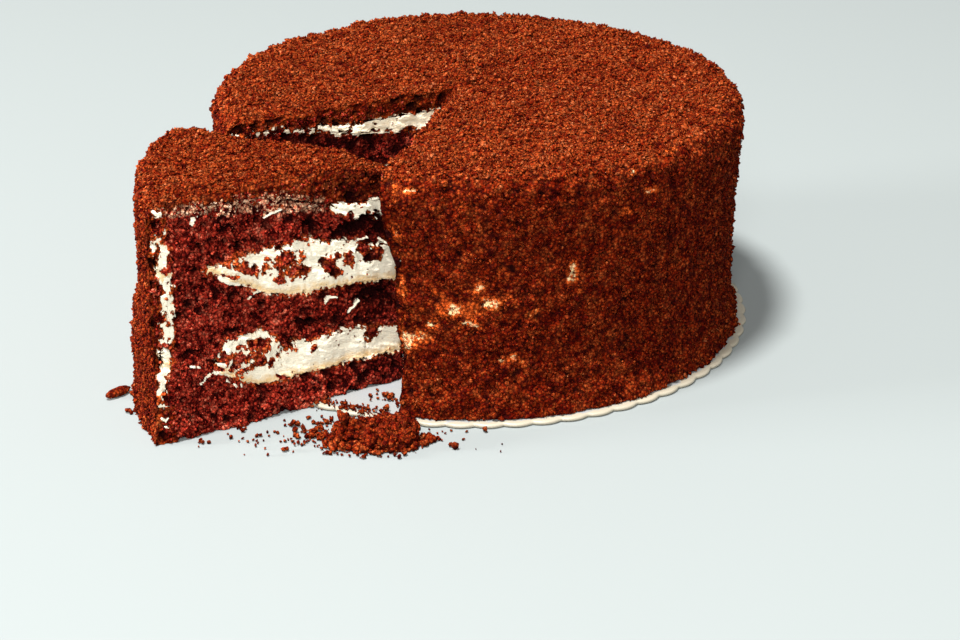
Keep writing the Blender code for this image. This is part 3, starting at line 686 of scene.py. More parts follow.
    def finish(self, body, out, up):
        """Lift of the face and its finish, each of its fields from 0 to 1."""
        seat = np.stack([out, up, np.full(out.shape, self.seed * 7.3 * MM)], axis=-1)
        lift, height, tone = torn_sponge(seat, self.seed)
        cream, inside, floor_gap = self.cream(body, seat, out, up)
        ragged = self.ragged(seat)
        drift = [
            swell(seat, DRIFT_WAVES, self.seed + 21 + axis)
            + swell(seat, DRIFT_RIPPLES, self.seed + 31 + axis)
            for axis in range(2)]
        crumbs, deep = self.pressed(seat, (out + drift[0], up + drift[1]), inside, ragged)
        streaks = self.curls((out + 0.5 * drift[0], up + 0.5 * drift[1]), ragged)
        # Hollows: sunk into the sponge, and their tone and height lowered as painted shade
        hollow = np.zeros(out.shape)
        for patch in self.hollows:
            hollow = np.maximum(hollow, smoothstep(-0.2, 0.4, patch.depth(out, up, 0.8 * ragged)))
        smear = body.smear(self, out, up)
        smooth = np.maximum(cream * (1.0 - crumbs), streaks)
        hollow = hollow * (1.0 - smooth)
        lift = lift * (1.0 - smooth) + spread_cream(seat, self.seed) * smooth
        lift = lift + PRESSED_LIFT * crumbs * cream + STREAK_LIFT * streaks - HOLLOW_DEPTH * hollow
        drag = smoothstep(-WISP_REACH, 0.0, inside) * 0.42
        wisps = drag * (waves(seat * WISP_STRETCH, WISP_SIZE, self.seed + 6) > 0.1)
        patchy = np.maximum(wisps * (1.0 - crumbs), 0.29 * smear)
        # Painted glow: crumb near cream, outside the crumb patches, lit as if by light through the
        # cream
        near = smoothstep(-GLOW_REACH, 0.0, inside) * (1.0 - 0.9 * smoothstep(0.15, 0.75, deep))
        # Painted shade in the cream: towards its shade colour near its filling's lower edge and by
        # tone; kept partly there all over on the cake's cut walls
        stain_and_shade = 0.8 * (1.0 - smoothstep(*CREAM_SHADE_FADE, floor_gap)) + 0.25 * tone
        stain_and_shade = np.maximum(stain_and_shade, 0.4) if self.facing < 0 else stain_and_shade
        # Painted shade of the tip and the notch, laid on the crumb's tone and height
        shade = self.shade(body, out, up)
        return lift, {
            "cream": np.maximum(smooth, patchy),
            "glow": 1.1 * near * (1.0 - smooth) * (1.0 - hollow),
            "tone": shade * tone * (1.0 - 0.6 * hollow) * (1.0 - smooth) + smooth * stain_and_shade,
            "smeared": smear,
            "height": np.maximum(shade * height * (1.0 - 0.8 * hollow), 0.8 * smooth + 0.45 * smear),
        }


# ---------------- bodies


def ground(plan, gap=0.0):
    """Height of what things lie on: the card, or the surface beside it."""
    return np.where(np.linalg.norm(plan, axis=-1) < CARD_RADIUS + gap, CARD_TOP + gap, 0.0)


class Body:
    """The cake or its slice: its foot, surfaces and walls, and how its points are put in place.

    The kernel is a point of the plan from which all of the outline is in sight.
    """

    fillings = (
        (LOWER_FILLING_BOTTOM, LOWER_FILLING_TOP),
        (UPPER_FILLING_BOTTOM, UPPER_FILLING_TOP),
    )

    def height(self, surface, radius):
        """Height of a surface between layers, from the ground."""
        return self.foot + level(surface, radius)

    def ray(self, share, up):
        """Direction from the apex at a share of the way from the right wall to the left one."""
        return direction(self.right.angle(up) * (1.0 - share) + self.left.angle(up) * share)

    def sweep(self):
        """Length of the coat's wall from one cut to the other."""
        return abs(self.left.angle(0.0) - self.right.angle(0.0)) * COAT_RADIUS


class ThinPatch:
    """A place on the wall where the coat is thin: its angle, height and half axes."""

    def __init__(self, angle, up, width, height, depth):
        self.angle = math.radians(angle)
        self.up = up * MM
        self.width = width * MM
        self.tall = height * MM
        self.depth = depth

    def share(self, points):
        """How thin the coat is: a bell over the patch, on the wall alone."""
        turn = np.arctan2(points[..., 1], points[..., 0]) - self.angle
        across = turn * COAT_RADIUS / self.width
        rise = (points[..., 2] - self.up) / self.tall
        radius = np.linalg.norm(points[..., :2], axis=-1)
        near_wall = smoothstep(COAT_RADIUS - COAT_RIM, COAT_RADIUS - 0.5 * COAT_RIM, radius)
        return self.depth * near_wall * np.exp(-(across * across + rise * rise))


class Cake(Body):
    """The cake on its card, without the slice."""

    name = "cake"
    foot = CARD_TOP + GAP
    icing_foot = foot + 3.5 * MM
    tops = CAKE_TOPS
    flare = 3.8 * MM
    kernel = APEX + direction(math.radians(54.0)) * 40.0 * MM
    seed = 20
    right = Wall((RIGHT_ANGLE_LOW, RIGHT_ANGLE_HIGH), 1, -1, 0.6 * MM, 300)
    left = Wall((LEFT_ANGLE + 2.0 * math.pi, LEFT_ANGLE + 2.0 * math.pi), -1, -1, 2.4 * MM, 400)
    strip_wear = 3.0 * MM
    strip_loss = 1.2 * MM
    arc_steps = 90
    icing_turns = (50, 50, 14)
    coat_across = 14
    seat_grid = 1.25 * MM
    thin_patches = [ThinPatch(*row) for row in THIN_PATCHES]
    beads = (6.0 * MM, 0.65)
    beads_reach = 1.5 * MM

    def strip_bend(self, up):
        """How far the strip of icing at the rim stands out of true."""
        return np.zeros(np.shape(up))

    def band_cover(self, out):
        """How far crumbs cover the icing's top band on a cut face."""
        return 0.05 + 0.14 * smoothstep(45.0 * MM, 85.0 * MM, out)

    def smear(self, wall, out, up):
        """Where crumb and cream are dragged together on a cut face, from 0 to 1."""
        return np.zeros(np.shape(out))

    def skin_lift(self, points):
        """How far the coat's top is higher or lower than its surface and relief."""
        return np.zeros(points.shape[:-1])

    @property
    def corner(self):
        """Where the notch's right wall meets the coat's wall."""
        along = direction(RIGHT_ANGLE_LOW)
        return APEX + along * ray_length(along, COAT_RADIUS)

    def thin(self, points):
        """Where the coat is so thin that cream shows through: patches, and beads at the corner."""
        shares = [patch.share(points) for patch in self.thin_patches]
        edge = np.linalg.norm(points[..., :2] - self.corner, axis=-1)
        beads = 0.3 + swell(points, self.beads, self.seed + 70)
        shares.append(beads * np.exp(-((edge / self.beads_reach) ** 2)))
        return np.clip(np.sum(shares, axis=0), 0.0, 1.35)

    def settle(self, points, free):
        """Puts points in their final place: the wall leans, and the front corner bulges.

        Free is 0 on the cut walls, which don't lean, and 1 well off them.
        """
        lean = CAKE_LEAN * smoothstep(CAKE_LEAN_LOW, CAKE_LEAN_HIGH, points[..., 2])
        points = points.copy()
        points[..., 0] += lean * free
        away = np.linalg.norm(points[..., :2] - self.corner, axis=-1)
        rise = smoothstep(BULGE_LOW, BULGE_HIGH, points[..., 2])
        points[..., 0] -= CORNER_BULGE * rise * np.exp(-((away / BULGE_REACH) ** 2))
        return points


class Slice(Body):
    """The slice, half drawn out of the cake."""

    name = "slice"
    foot = 0.0
    icing_foot = 13.0 * MM
    tops = SLICE_TOPS
    flare = 2.2 * MM
    kernel = APEX + direction(math.radians(-126.7)) * 60.0 * MM
    seed = 40
    right = Wall(
        (SLICE_FRONT_ANGLE, SLICE_FRONT_ANGLE), 1, 1, -1.2 * MM, 100,
        FRONT_CRUMBS, FRONT_HOLLOWS, FRONT_STREAKS, FRONT_SPREAD)
    left = Wall((LEFT_ANGLE, LEFT_ANGLE), -1, 1, -5.5 * MM, 200)
    strip_wear = 2.6 * MM
    strip_loss = 0.2 * MM
    strip_foot = 4.2 * MM
    strip_foot_fade = (13.0 * MM, 34.0 * MM)
    strip_dent = 1.4 * MM
    strip_dent_up = 50.0 * MM
    strip_dent_reach = 14.0 * MM
    arc_steps = 20
    icing_turns = (8, 8, 22)
    coat_across = 30
    seat_grid = 0.8 * MM

    def strip_bend(self, up):
        """The strip of icing stands out at its foot and is dented halfway up."""
        inward = self.strip_dent * np.exp(-(((up - self.strip_dent_up) / self.strip_dent_reach) ** 2))
        return self.strip_foot * (1.0 - smoothstep(*self.strip_foot_fade, up)) - inward

    def band_cover(self, out):
        """Crumbs cover the band all along, but for its part near the slice's tip."""
        return smoothstep(22.0 * MM, 32.0 * MM, out)

    def smear(self, wall, out, up):
        """A belt under the front face's top edge."""
        outs, middles, halves = np.array(SMEAR_BELT).T * MM
        middle = np.interp(out, outs, middles)
        half = np.interp(out, outs, halves)
        belt = smoothstep(1.5, 0.6, np.abs(up - middle) / half)
        ends = smoothstep(24.0 * MM, 32.0 * MM, out) * smoothstep(93.0 * MM, 89.0 * MM, out)
        return belt * ends * (wall.side > 0)

    def skin_lift(self, points):
        """A slump along the front face's top edge, and a lump on the back edge."""
        high = SLICE_TOPS[2][0] * MM
        top = smoothstep(high - 2.0 * COAT_RIM, high, points[..., 2])
        front = direction(SLICE_FRONT_ANGLE)
        reach = points[..., :2] - APEX
        from_front = np.abs(front[0] * reach[..., 1] - front[1] * reach[..., 0])
        slump = FRONT_SLUMP * (1.0 - smoothstep(0.0, FRONT_SLUMP_WIDTH, from_front))
        slump = slump + FRONT_EDGE_SLUMP * (1.0 - smoothstep(0.0, FRONT_EDGE_WIDTH, from_front))
        away = np.linalg.norm(points[..., :2] - BACK_LUMP_AT, axis=-1)
        lump = BACK_LUMP * np.exp(-((away / BACK_LUMP_RADIUS) ** 2))
        return top * (lump - slump)

    def thin(self, points):
        """The slice's coat is thick all over."""
        return np.zeros(points.shape[:-1])

    def settle(self, points, free):
        """Leans the wall in, turns the slice about its tip, and stands it on card and ground."""
        plan = points[..., :2]
        radius = np.maximum(np.linalg.norm(plan, axis=-1), GAP)
        angle = np.arctan2(plan[..., 1], plan[..., 0])
        lean = LEAN * smoothstep(LEAN_FRONT_ANGLE, LEAN_BACK_ANGLE, angle)
        lean = lean * smoothstep(LEAN_LOW, LEAN_HIGH, points[..., 2])
        lean = lean * (radius / COAT_RADIUS) ** 4
        plan = plan * (1.0 - lean / radius)[..., None] - APEX
        cos, sin = math.cos(SLICE_TURN), math.sin(SLICE_TURN)
        plan = plan @ np.array([[cos, sin], [-sin, cos]]) + SLICE_TIP
        height = np.maximum(points[..., 2], ground(plan, GAP))
        return np.concatenate([plan, height[..., None]], axis=-1)


CAKE = Cake()
SLICE = Slice()


# ---------------- meshes


def grid_triangles(rows, columns, closed):
    """Two triangles for each square of a grid of points; a closed one joins its last row too."""
    row = np.arange(rows if closed else rows - 1)[:, None]
    first = row * columns + np.arange(columns - 1)
    second = (row + 1) % rows * columns + np.arange(columns - 1)
    squares = np.stack([first, second, second + 1, first + 1], axis=-1).reshape(-1, 4)
    return np.concatenate([squares[:, [0, 1, 2]], squares[:, [0, 2, 3]]])


def strip_triangles(first, second):
    """Triangles between two rows of point numbers of unequal length, matched by their share."""
    partner = np.rint(np.linspace(0, len(second) - 1, len(first))).astype(int)
    lower = np.stack([first[:-1], first[1:], second[partner[:-1]]], axis=-1)
    upper = np.stack([first[1:], second[partner[1:]], second[partner[:-1]]], axis=-1)
    return np.concatenate([lower, upper])


def weld(points, triangles, fields):
    """Merges points that coincide, and drops the triangles that lose a corner by it."""
    places = np.round(points / WELD).astype(np.int64)
    _, first, now = np.unique(places, axis=0, return_index=True, return_inverse=True)
    triangles = now.reshape(-1)[triangles]
    one, two, three = triangles.T
    whole = (one != two) & (two != three) & (three != one)
    return points[first], triangles[whole], {name: field[first] for name, field in fields.items()}


def facing_out(points, triangles):
    """Turns all triangles round if together they enclose less than nothing."""
    one, two, three = (points[corner] for corner in triangles.T)
    volume = np.einsum("ij,ij->", one, np.cross(two, three))
    return triangles if volume > 0.0 else triangles[:, ::-1]


def add_piece(name, points, triangles, fields, paint, nodes, smooth=True):
    """Makes an object of points and triangles under the root, and hides the parts it stands for."""
    fields = {key: np.ravel(field) for key, field in fields.items()}
    points, triangles, fields = weld(points.reshape(-1, 3), triangles, fields)
    triangles = facing_out(points, triangles)
    mesh = bpy.data.meshes.new(name)
    mesh.vertices.add(len(points))
    mesh.vertices.foreach_set("co", points.astype(np.float32).ravel())
    mesh.loops.add(triangles.size)
    mesh.loops.foreach_set("vertex_index", triangles.astype(np.int32).ravel())
    mesh.polygons.add(len(triangles))
    mesh.polygons.foreach_set("loop_start", np.arange(0, triangles.size, 3, dtype=np.int32))
    mesh.update(calc_edges=True)
    mesh.validate()
    for key, field in fields.items():
        attribute = mesh.attributes.new(key, "FLOAT", "POINT")
        attribute.data.foreach_set("value", field.astype(np.float32))
    if smooth:
        mesh.shade_smooth()
    mesh.materials.append(paint)
    piece = bpy.data.objects.new(name, mesh)
    bpy.context.scene.collection.objects.link(piece)
    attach(piece, "root")
    if nodes:
        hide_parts(*nodes)


def steps(length, size):
    """How many steps of about that size make up a length, at least one."""
    return max(int(round(length / size)), 1)


# ---------------- layers of sponge and cream


def layer_heights(body, part):
    """Lower and upper surface of a layer as functions of the radius."""
    lower_bottom, lower_top = body.fillings[0]
    upper_bottom, upper_top = body.fillings[1]

    def over(filling_top, sponge_below):
        """Over the filling as far as it reaches, then over the sponge below it."""
        return lambda radius: np.where(
            radius < FILLING_RADIUS,
            body.height(filling_top, radius),
            body.height(sponge_below, radius),
        )

    surfaces = {
        "sponge_bottom": (lambda radius: np.full(np.shape(radius), body.foot), lower_bottom),
        "filling_lower": (lower_bottom, lower_top),
        "sponge_middle": (over(lower_top, lower_bottom), upper_bottom),
        "filling_upper": (upper_bottom, upper_top),
        "sponge_top": (over(upper_top, upper_bottom), body.tops[0]),
    }
    return [
        surface if callable(surface) else lambda radius, surface=surface: body.height(surface, radius)
        for surface in surfaces[part]
    ]


def add_layer(body, part, paint, sizes):
    """A closed layer: round its outline in rows, and from a pole below to a pole above.

    The side rises from the lower surface to the upper one by an even share. Below and above
    it the outline shrinks to a point inside the layer, along the same two surfaces.
    """
    lower, upper = layer_heights(body, part)
    radius = SPONGE_RADIUS if part.startswith("sponge") else FILLING_RADIUS
    out_right = np.linspace(0.0, 1.0, steps(radius, sizes[0]) + 1)
    out_left = np.linspace(1.0, 0.0, steps(radius, sizes[1]) + 1)[:-1]
    turn = np.linspace(0.0, 1.0, body.arc_steps)[1:-1]
    thick = float(upper(np.array(0.4 * radius)) - lower(np.array(0.4 * radius)))
    share = np.linspace(0.0, 1.0, steps(thick, min(sizes)) + 1)[None, :]
    rows = []
    fields = []
    for wall, outs in ((body.right, out_right), (None, turn), (body.left, out_left)):
        if wall is None:
            along = body.ray(outs[:, None], 0.0 * share)
            rim = APEX + along * ray_length(along, radius)[..., None]
            up = lower(np.array(radius)) * (1.0 - share) + upper(np.array(radius)) * share
            up = np.broadcast_to(up, rim.shape[:-1])
            rows.append(np.concatenate([rim, up[..., None]], axis=-1))
            fields.append(no_finish(up.shape))
            continue
        middle = wall.angle(lower(np.array(radius)))
        reach = outs[:, None] * ray_length(direction(middle), radius)
        from_axis = np.linalg.norm(APEX + direction(middle) * reach[..., None], axis=-1)
        up = lower(from_axis) * (1.0 - share) + upper(from_axis) * share
        out = np.broadcast_to(reach, up.shape)
        lift, finish = wall.finish(body, out, up)
        rows.append(wall.place(out, up, lift))
        fields.append(finish)
    side = np.concatenate(rows)
    finish = {key: np.concatenate([field[key] for field in fields]) for key in fields[0]}
    below = cap(body, side[:, 0], lower)
    above = cap(body, side[:, -1], upper)[:, ::-1]
    points = np.concatenate([below, side, above], axis=1)
    edge = ((0, 0), (below.shape[1], above.shape[1]))
    finish = {key: np.pad(field, edge, mode="edge") for key, field in finish.items()}
    points = body.settle(points, 0.0)
    triangles = grid_triangles(len(points), points.shape[1], True)
    name = f"{body.name}_{part}_cut"
    add_piece(name, points, triangles, finish, paint, [f"{body.name}_{part}"])


def cap(body, outline, surface):
    """Rings inside an outline, from a pole outwards, on a surface of the radius."""
    shares = np.array([0.0, 0.3, 0.6, 0.85, 0.96])[None, :, None]
    plan = body.kernel + shares * (outline[:, None, :2] - body.kernel)
    up = surface(np.linalg.norm(plan, axis=-1))
    return np.concatenate([plan, up[..., None]], axis=-1)


# ---------------- icing and coat


class Curve:
    """A layer's outline in section: out over its top, round its rim and down its wall."""

    def __init__(self, body, surface, radius, rim, foot, flare=0.0, narrow=0.0):
        self.body = body
        self.narrow = narrow
        self.surface = surface
        self.flat = radius - rim
        self.high = float(body.height(surface, np.array(self.flat))) - rim
        self.radius = radius
        self.rim = rim
        self.foot = foot
        self.flare = flare

    def stations(self, counts):
        """Share of the way out, radius and height of each station, and the way it faces.

        On the top the height is that of the surface at a point's own radius.
        """
        top, rim, wall = counts
        turn = np.linspace(0.0, math.pi / 2, rim, endpoint=False)
        share = np.concatenate([np.arange(top) / top, np.ones(rim + wall + 1)])
        down = np.linspace(self.high, self.foot, wall + 1)
        flare = self.flare * np.clip(1.0 - (down - self.foot) / FLARE_HEIGHT, 0.0, 1.0) ** FLARE_CURVE
        wall_radius = np.where(down < self.narrow, SPONGE_RADIUS, self.radius + flare)
        radius = np.concatenate([
            np.full(top, self.flat), self.flat + self.rim * np.sin(turn), wall_radius])
        height = np.concatenate([
            np.full(top, np.nan), self.high + self.rim * np.cos(turn), down])
        facing = np.concatenate([np.zeros(top), turn, np.full(wall + 1, math.pi / 2)])
        return share, radius, height, facing

    def place(self, turn, counts):
        """Points over (turn, station), and the way they face."""
        share, radius, height, facing = self.stations(counts)
        turn = np.asarray(turn)[:, None] + 0.0 * share
        guess = np.where(np.isnan(height), self.body.height(self.surface, share * self.flat), height)
        along = self.body.ray(turn, guess + 0.0 * turn)
        out = share * ray_length(along, radius + 0.0 * turn)
        plan = APEX + along * out[..., None]
        from_axis = np.linalg.norm(plan, axis=-1)
        up = np.where(np.isnan(height), self.body.height(self.surface, from_axis), height)
        away = plan / np.maximum(from_axis, MM)[..., None]
        normal = np.concatenate([
            away * np.sin(facing)[:, None], np.broadcast_to(np.cos(facing)[:, None], up.shape + (1,))],
            axis=-1)
        return np.concatenate([plan, up[..., None]], axis=-1), normal


def coat_skin(body, points, normal):
    """Moves points of the coat's outside along the way they face by its relief."""
    lift, height, tone = crumb_coat(points, body.seed)
    thin = body.thin(points)
    lift = lift * (1.0 - 0.45 * thin) - THIN_SINK * thin
    lift = lift + swell(points, COAT_WAVES, body.seed + 90)
    grounded = smoothstep(0.0, FOOT_FADE, points[..., 2] - body.foot)
    points = points + normal * lift[..., None]
    points[..., 2] = points[..., 2] * grounded + body.foot * (1.0 - grounded)
    points[..., 2] += body.skin_lift(points)
    facing_up = smoothstep(0.4, 0.8, normal[..., 2])
    blotch = swell(points, BLOTCHES, body.seed + 61) + swell(points, SPECKS, body.seed + 62)
    rubbed = swell(points * WALL_STRETCH, WALL_STREAKS, body.seed + 63) * (1.0 - facing_up)
    rubbed = rubbed + swell(points, TOP_CLOUDS, body.seed + 64) * facing_up
    bare = smoothstep(0.55, 1.05, thin + 0.6 * blotch)
    # Painted light and shade: tone higher on the top, under the lamps, than on the wall, and lower
    # towards the foot
    share = 0.25 + 0.13 * smoothstep(*FOOT_SHADE, points[..., 2]) + 0.45 * facing_up
    return points, {
        "cream": THIN_CREAM * bare,
        # Painted glow round the thin patches, where cream shows through
        "glow": smoothstep(0.08, 0.85, thin + 0.65 * blotch) * smoothstep(0.04, 0.2, thin),
        "tone": np.maximum(tone * share + rubbed, smoothstep(0.1, 0.5, bare)),
        "height": height,
        "smeared": np.zeros(tone.shape),
    }


def no_finish(shape):
    """A finish that is 0 in each of its fields."""
    return {key: np.zeros(shape) for key in FIELDS}


def outside(body, curve, counts, turn, rough):
    """A shell's outside over (turn, station): its points, their finish, and how free they are.

    Beside a cut the points follow the cut wall; free is 0 there and 1 well off it.
    """
    points, normal = curve.place(turn, counts)
    finish = no_finish(points.shape[:-1])
    if rough:
        points, finish = coat_skin(body, points, normal)
    free = np.ones(points.shape[:-1])
    shift = np.zeros(points.shape[:-1] + (2,))
    for wall in (body.right, body.left):
        reach = points[..., :2] - APEX
        outward = wall.outward(points[..., 2])
        distance = np.abs(np.sum(reach * outward, axis=-1))
        ahead = np.sum(reach * direction(wall.angle(points[..., 2])), axis=-1) > 0.0
        fade = (1.0 - smoothstep(0.0, EDGE_FADE, distance)) * ahead
        out = np.linalg.norm(reach, axis=-1)
        shift += outward * (wall.offset(out, points[..., 2]) * fade)[..., None]
        free = free * (1.0 - fade)
    points[..., :2] += shift
    return points, finish, free


def cut_strip(body, wall, outer, inner, across, rough):
    """The cut face of a shell, from its inside to its outside in even shares."""
    shares = np.linspace(0.0, 1.0, across + 1)[:, None]
    out_inside, out_outside = (np.linalg.norm(side[:, :2] - APEX, axis=-1) for side in (inner, outer))
    outs = out_inside * (1.0 - shares) + out_outside * shares
    ups = inner[:, 2] * (1.0 - shares) + outer[:, 2] * shares
    lift, finish = wall.finish(body, outs, ups)
    if rough:
        lift = lift * (1.0 - smoothstep(0.7, 1.0, shares))
    return wall.place(outs, ups, lift), finish


def add_shell(body, name, outer, inner, counts, turns, part, rough, paint, node):
    """A closed shell over the layers: a loop of points round its section, at each station.

    The loop runs across the right cut face, over the outside, across the left cut face and
    back along the inside. Part gives the first and last station that the piece takes.
    """
    stations = slice(*part)
    outer_turns, inner_turns, across = turns
    around = np.linspace(0.0, 1.0, outer_turns + 1)
    points, finish, free = outside(body, outer, counts, around, rough)
    points, free = points[:, stations], free[:, stations]
    finish = {key: field[:, stations] for key, field in finish.items()}
    ends = outer.place(np.array([0.0, 1.0]), counts)[0][:, stations]
    under = inner.place(np.linspace(0.0, 1.0, inner_turns + 1), counts)[0][:, stations]
    right, right_finish = cut_strip(body, body.right, ends[0], under[0], across, rough)
    left, left_finish = cut_strip(body, body.left, ends[1], under[-1], across, rough)
    lower = under[1:-1][::-1]
    loop = [
        (right[:-1], {key: field[:-1] for key, field in right_finish.items()}, 0.0),
        (points, finish, free),
        (left[:-1][::-1], {key: field[:-1][::-1] for key, field in left_finish.items()}, 0.0),
        (lower, no_finish(lower.shape[:-1]), 0.0),
    ]
    finish = {key: np.concatenate([row[1][key] for row in loop]) for key in FIELDS}
    free = np.concatenate([row[2] + np.zeros(row[0].shape[:-1]) for row in loop])
    points = np.concatenate([row[0] for row in loop])
    columns = points.shape[1]
    last = 2 * across + outer_turns
    over = np.arange(last + 1) * columns
    back = np.arange(len(points), len(points) - inner_turns - 1, -1)
    back[0], back[-1] = 0, last
    triangles = [grid_triangles(len(points), columns, True)]
    for end in ((columns - 1,) if part[0] == 0 else (0, columns - 1)):
        closing = strip_triangles(over + end, back * columns + end)
        triangles.append(closing if end else closing[:, ::-1])
    points = body.settle(points, free)
    add_piece(name, points, np.concatenate(triangles), finish, paint, [node])


# ---------------- scattered crumbs


def octahedron():
    """Six corners and eight faces of a crumb of the smallest kind."""
    corners = np.array([(1, 0, 0), (-1, 0, 0), (0, 1, 0), (0, -1, 0), (0, 0, 1), (0, 0, -1)], float)
    faces = [(0, 2, 4), (2, 1, 4), (1, 3, 4), (3, 0, 4), (2, 0, 5), (1, 2, 5), (3, 1, 5), (0, 3, 5)]
    return corners, np.array(faces)


def icosahedron():
    """Twelve corners and twenty faces of a larger crumb."""
    long = (1.0 + math.sqrt(5.0)) / 2.0
    corners = np.array([
        (-1, long, 0), (1, long, 0), (-1, -long, 0), (1, -long, 0), (0, -1, long), (0, 1, long),
        (0, -1, -long), (0, 1, -long), (long, 0, -1), (long, 0, 1), (-long, 0, -1), (-long, 0, 1)])
    faces = [
        (0, 11, 5), (0, 5, 1), (0, 1, 7), (0, 7, 10), (0, 10, 11), (1, 5, 9), (5, 11, 4),
        (11, 10, 2), (10, 7, 6), (7, 1, 8), (3, 9, 4), (3, 4, 2), (3, 2, 6), (3, 6, 8),
        (3, 8, 9), (4, 9, 5), (2, 4, 11), (6, 2, 10), (8, 6, 7), (9, 8, 1)]
    return corners / np.linalg.norm(corners[0]), np.array(faces)


class Seats:
    """Places where crumbs lie: points, the way the ground faces there, and its finish."""

    def __init__(self, points, normals, finish, spots=()):
        self.points = points
        self.normals = normals
        self.finish = finish
        self.spots = spots

    def keep(self, chosen):
        """Only the chosen seats."""
        finish = {key: field[chosen] for key, field in self.finish.items()}
        spots = [spot[chosen] for spot in self.spots]
        return Seats(self.points[chosen], self.normals[chosen], finish, spots)


def seats_on_grid(points, finish, count, random):
    """Seats spread evenly over a grid of points: cells drawn by their area, a place in each."""
    finish = {key: field[:-1, :-1].ravel() for key, field in finish.items()}
    corner = points[:-1, :-1].reshape(-1, 3)
    first = points[1:, :-1].reshape(-1, 3) - corner
    second = points[:-1, 1:].reshape(-1, 3) - corner
    normal = np.cross(first, second)
    area = np.linalg.norm(normal, axis=-1)
    below = corner.mean(axis=0) - np.array([0.0, 0.0, SEAT_DROP])
    side = np.sign(np.sum(normal * (corner - below)))
    cell = random.choice(len(area), count, p=area / area.sum())
    shares = random.random((2, count, 1))
    places = corner[cell] + shares[0] * first[cell] + shares[1] * second[cell]
    normals = side * normal[cell] / np.maximum(area[cell], WELD * WELD)[:, None]
    return Seats(places, normals, {key: field[cell] for key, field in finish.items()})


def random_turns(count, random):
    """Matrices of turns drawn evenly, each from a quaternion of four normal numbers."""
    w, x, y, z = random.normal(size=(4, count))
    long = np.sqrt(w * w + x * x + y * y + z * z)
    w, x, y, z = w / long, x / long, y / long, z / long
    return np.array([
        [1.0 - 2.0 * (y * y + z * z), 2.0 * (x * y - z * w), 2.0 * (x * z + y * w)],
        [2.0 * (x * y + z * w), 1.0 - 2.0 * (x * x + z * z), 2.0 * (y * z - x * w)],
        [2.0 * (x * z - y * w), 2.0 * (y * z + x * w), 1.0 - 2.0 * (x * x + y * y)]])


def lumps(form, seats, sizes, sink, random, brightest=1.0, shading=0.5):
    """A crumb on each seat: a rough form turned at random, uneven and sunk by a share of its size.

    Its shading is how much darker its middle is than its top, a painted shade. Returns its
    points over (crumb, corner), its triangles, and its finish.
    """
    corners, faces = form
    count = len(sizes)
    turn = random_turns(count, random)
    shape = corners * random.uniform(*CORNER_SPREAD, (count, len(corners), 1))
    shape = shape * random.uniform(*SIDE_SPREAD, (count, 1, 3))
    shape = np.einsum("abn,ncb->nca", turn, shape) * sizes[:, None, None]
    normals = seats.normals[:, None, :]
    middle = seats.points[:, None, :] + normals * (sizes * (1.0 - 2.0 * sink))[:, None, None]
    points = middle + shape
    points[..., 2] = np.maximum(points[..., 2], 0.0)
    rise = np.sum(shape * normals, axis=-1) / sizes[:, None]
    triangles = (np.arange(count)[:, None, None] * len(corners) + faces).reshape(-1, 3)
    every = np.ones(rise.shape)
    smeared = seats.finish.get("smeared", np.zeros(count))[:, None]
    # Painted light: brightest scales the tone, and the height that the paint darkens as shade
    lit = np.reshape(0.5 + 0.5 * brightest, (-1, 1))
    finish = {
        "cream": 0.28 * smeared * every,
        "glow": 0.7 * seats.finish["glow"][:, None] * every,
        "tone": (brightest * random.random(count))[:, None] * every,
        "height": np.clip(1.0 - shading + shading * rise, 0.0, 1.0) * lit,
        "smeared": smeared * every,
    }
    return points, triangles, finish


def add_lumps(name, groups, paint):
    """Joins groups of crumbs, each its points, triangles and finish, into one piece."""
    triangles, total = [], 0
    for points, faces, _ in groups:
        triangles.append(faces + total)
        total += points.size // 3
    points = np.concatenate([group[0].reshape(-1, 3) for group in groups])
    finish = {key: np.concatenate([group[2][key].ravel() for group in groups]) for key in FIELDS}
    add_piece(name, points, np.concatenate(triangles), finish, paint, [], smooth=False)


def crumb_sizes(middling, spread, count, random):
    """Radii round a middling one: their logarithm is normal, and cut off at both ends."""
    return middling * np.exp(spread * random.normal(size=count).clip(*SIZE_ENDS))


def coat_seats(body, size, count, part, random):
    """Seats on the coat's outside, as the coat itself has it: its top, its wall or all of it."""
    outer, _ = coat_curves(body)
    counts = coat_counts(outer, size)
    turn = np.linspace(0.0, 1.0, steps(body.sweep(), size) + 1)
    points, finish, free = outside(body, outer, counts, turn, True)
    points = body.settle(points, free)
    middle = counts[0] + counts[1] // 2
    stations = {"top": slice(0, middle + 1), "wall": slice(middle, None), "all": slice(None)}[part]
    finish = {key: field[:, stations] for key, field in finish.items()}
    seats = seats_on_grid(points[:, stations], finish, count, random)
    shown = random.random(count) > 0.85 * seats.finish["glow"]
    hump = seats.finish["height"] > 0.55 * random.random(count)
    return seats.keep(shown & hump)


def face_seats(body, wall, count, random):
    """Seats on a cut face, all over it below the coat's top, with the finish that shows there."""
    up = random.uniform(body.foot + MM, body.foot + FACE_TOP, count)
    reach = ray_length(direction(wall.angle(up)), COAT_RADIUS - MM)
    out = np.sqrt(random.random(count)) * reach
    lift, finish = wall.finish(body, out, up)
    below = up < body.height(body.tops[2], wall.radius(out, up)) - 2.0 * MM
    points = body.settle(wall.place(out, up, lift), 0.0)
    ahead = body.settle(wall.place(out, up, lift + MM), 0.0)
    normals = (ahead - points) / np.linalg.norm(ahead - points, axis=-1)[:, None]
    return Seats(points, normals, finish, (out, up)).keep(below)


# ---------------- materials


